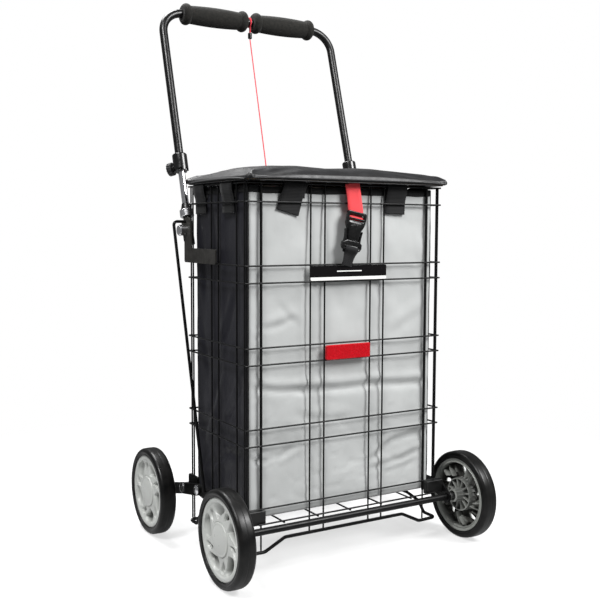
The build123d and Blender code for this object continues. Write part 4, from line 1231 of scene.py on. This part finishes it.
def turned(angle, step):
    """An angle brought to within half a step of zero."""
    return (angle + step / 2) % step - step / 2


def teardrop(angle, r, middle, radius, half_angle, half_depth):
    """1 inside a swirled pocket, falling steeply to 0 at its edge."""
    du = turned(angle - SWIRL * (r - radius) - middle, STEP) / half_angle
    dr = (r - radius) / half_depth
    taper = max(0.3, 1.0 + 0.42 * dr)
    d = math.sqrt((du / taper) ** 2 + dr ** 2)
    return smooth_step((1.08 - d) / 0.16)


def outer_face(angle, r):
    """Height of the hub's outer face above the wheel's middle plane."""
    if r <= BOSS_R:
        return 9.4
    if r >= RING_R:
        return 11.9 + 0.5 * smooth_step((r - RING_R) / 2) - smooth_step((r - 67) / 1.4)
    arm = 11.3 - 1.8 * math.sin(math.pi * (r - BOSS_R) / (RING_R - BOSS_R))
    half_angle = 19.5
    pocket = teardrop(angle, r, POCKET, POCKET_R, half_angle, 12.6)
    slot = teardrop(angle, r, SLOT, SLOT_R, 7.4, 10.6)
    across = turned(angle - SWIRL * (r - POCKET_R) - POCKET, STEP) / half_angle
    bowl = 8.2 + 5.2 * across - 0.12 * (r - POCKET_R)
    return arm - bowl * pocket - 4.0 * slot


def inner_face(angle, r):
    """Height of the hub's inner face: the moulding's back, with ribs round the boss and outside the ring."""
    if r <= 12.6:
        return -25.0 if r <= 11 else -24.0
    if r >= 61.2:
        step = 1.6 * smooth_step((r - 62.2) / 0.8) * smooth_step((66.4 - r) / 0.8)
        return -12.4 + step
    if r >= RING_R:
        return -4.0
    if r < 29.0:
        rib = math.exp(-(turned(angle, 30) * math.radians(r) / 1.7) ** 4)
        return 6.6 - 15.6 * rib
    if r < 31.6:
        return -9.6
    back = outer_face(angle, r) - WALL
    rib = math.exp(-(turned(angle - 0.3 * (r - SLOT_R) - 6, STEP / 5) * math.radians(r) / 0.9) ** 4)
    slot = teardrop(angle, r, SLOT, SLOT_R, 9.5, 11.5)
    return back - 9.0 * rib * (1 - slot)


def hub_mesh(name, centre, side, phase):
    """The moulded hub: two relief faces joined at the rim and at the bore, with five slots cut through."""
    shape = Shape()

    def spot(x, angle, r):
        a = math.radians(angle + phase)
        return (centre[0] + side * x, centre[1] - side * r * math.cos(a), centre[2] + r * math.sin(a))

    rows = []
    for face, radii in ((outer_face, RINGS), (inner_face, RINGS[::-1])):
        for r in radii:
            rows.append([spot(face(angle, r), angle, r) for angle in range(360)])
    shape.grid(rows, wrap_across=True, wrap_along=True)
    hub = shape.build(name + "_hub_moulding", [HUB_PLASTIC, SHADED_HUB_BACK], None)
    cutters = Shape()
    for k in range(SPOKES):
        low, high = [], []
        for a in turns(24):
            r = SLOT_R + 8.2 * math.sin(a)
            bulge = 5.0 * math.cos(a) * (1 + 0.35 * math.sin(a))
            angle = SLOT + STEP * k + SWIRL * (r - SLOT_R) + bulge
            low.append(spot(-40, angle, r))
            high.append(spot(40, angle, r))
        cutters.grid([low, high], wrap_across=True)
        cutters.cap(low)
        cutters.cap(high)
    cutter = cutters.build(name + "_cutter", HUB_PLASTIC)
    cut = hub.modifiers.new("cut", "BOOLEAN")
    cut.operation = "DIFFERENCE"
    cut.object = cutter
    cut.solver = "EXACT"
    apply_modifiers(hub)
    bpy.data.objects.remove(cutter)
    hub.data.shade_smooth()
    # Faces turned inward get the hub's back, a copy of its plastic darkened with painted shade.
    for polygon in hub.data.polygons:
        polygon.material_index = 1 if polygon.normal.x * side < -0.05 else 0
    return sharpen(hub, 50)


def tyre_profile():
    """The tyre's section: a crowned tread, round shoulders, a step and a groove on each wall."""
    half = 15.1
    right = [
        (11.2, 68.45), (13.0, 68.7), (14.2, 69.4), (14.5, 70.6), (14.0, 71.6), (14.5, 72.6), (15.0, 74.0),
        (half, 75.2)]
    for k in range(1, 10):
        a = math.radians(90 * k / 9)
        right.append((half - 7.2 * (1 - math.cos(a)), 75.2 + 6.55 * math.sin(a)))
    right += [(5.0, 81.92), (2.0, 81.98), (0.35, 82.0), (0.0, 81.85)]
    return right + [(-x, r) for x, r in right[:-1][::-1]]


def wheel(name, phase):
    """One wheel: tyre, hub and cap."""
    side = -1 if name.endswith("left") else 1
    centre = [(a + b) / 2 for a, b in zip(*box_mm(name + "_tyre"))]
    body = name + "_wheel"
    tyre = Shape()
    tyre.lathe(tyre_profile(), centre, side, segments=144)
    ring = tyre.build(name + "_tyre_rubber", TYRE, body)
    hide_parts(name + "_tyre")
    hub = hub_mesh(name, centre, side, phase)
    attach(hub, body)
    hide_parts(name + "_hub")
    cap = Shape()
    cap.lathe(CAP, centre, side, segments=96)
    cover = sharpen(cap.build(name + "_cap_moulding", HUB_PLASTIC, body), 50)
    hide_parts(name + "_hub_cap")


for name, phase in PHASES.items():
    wheel(name, phase)
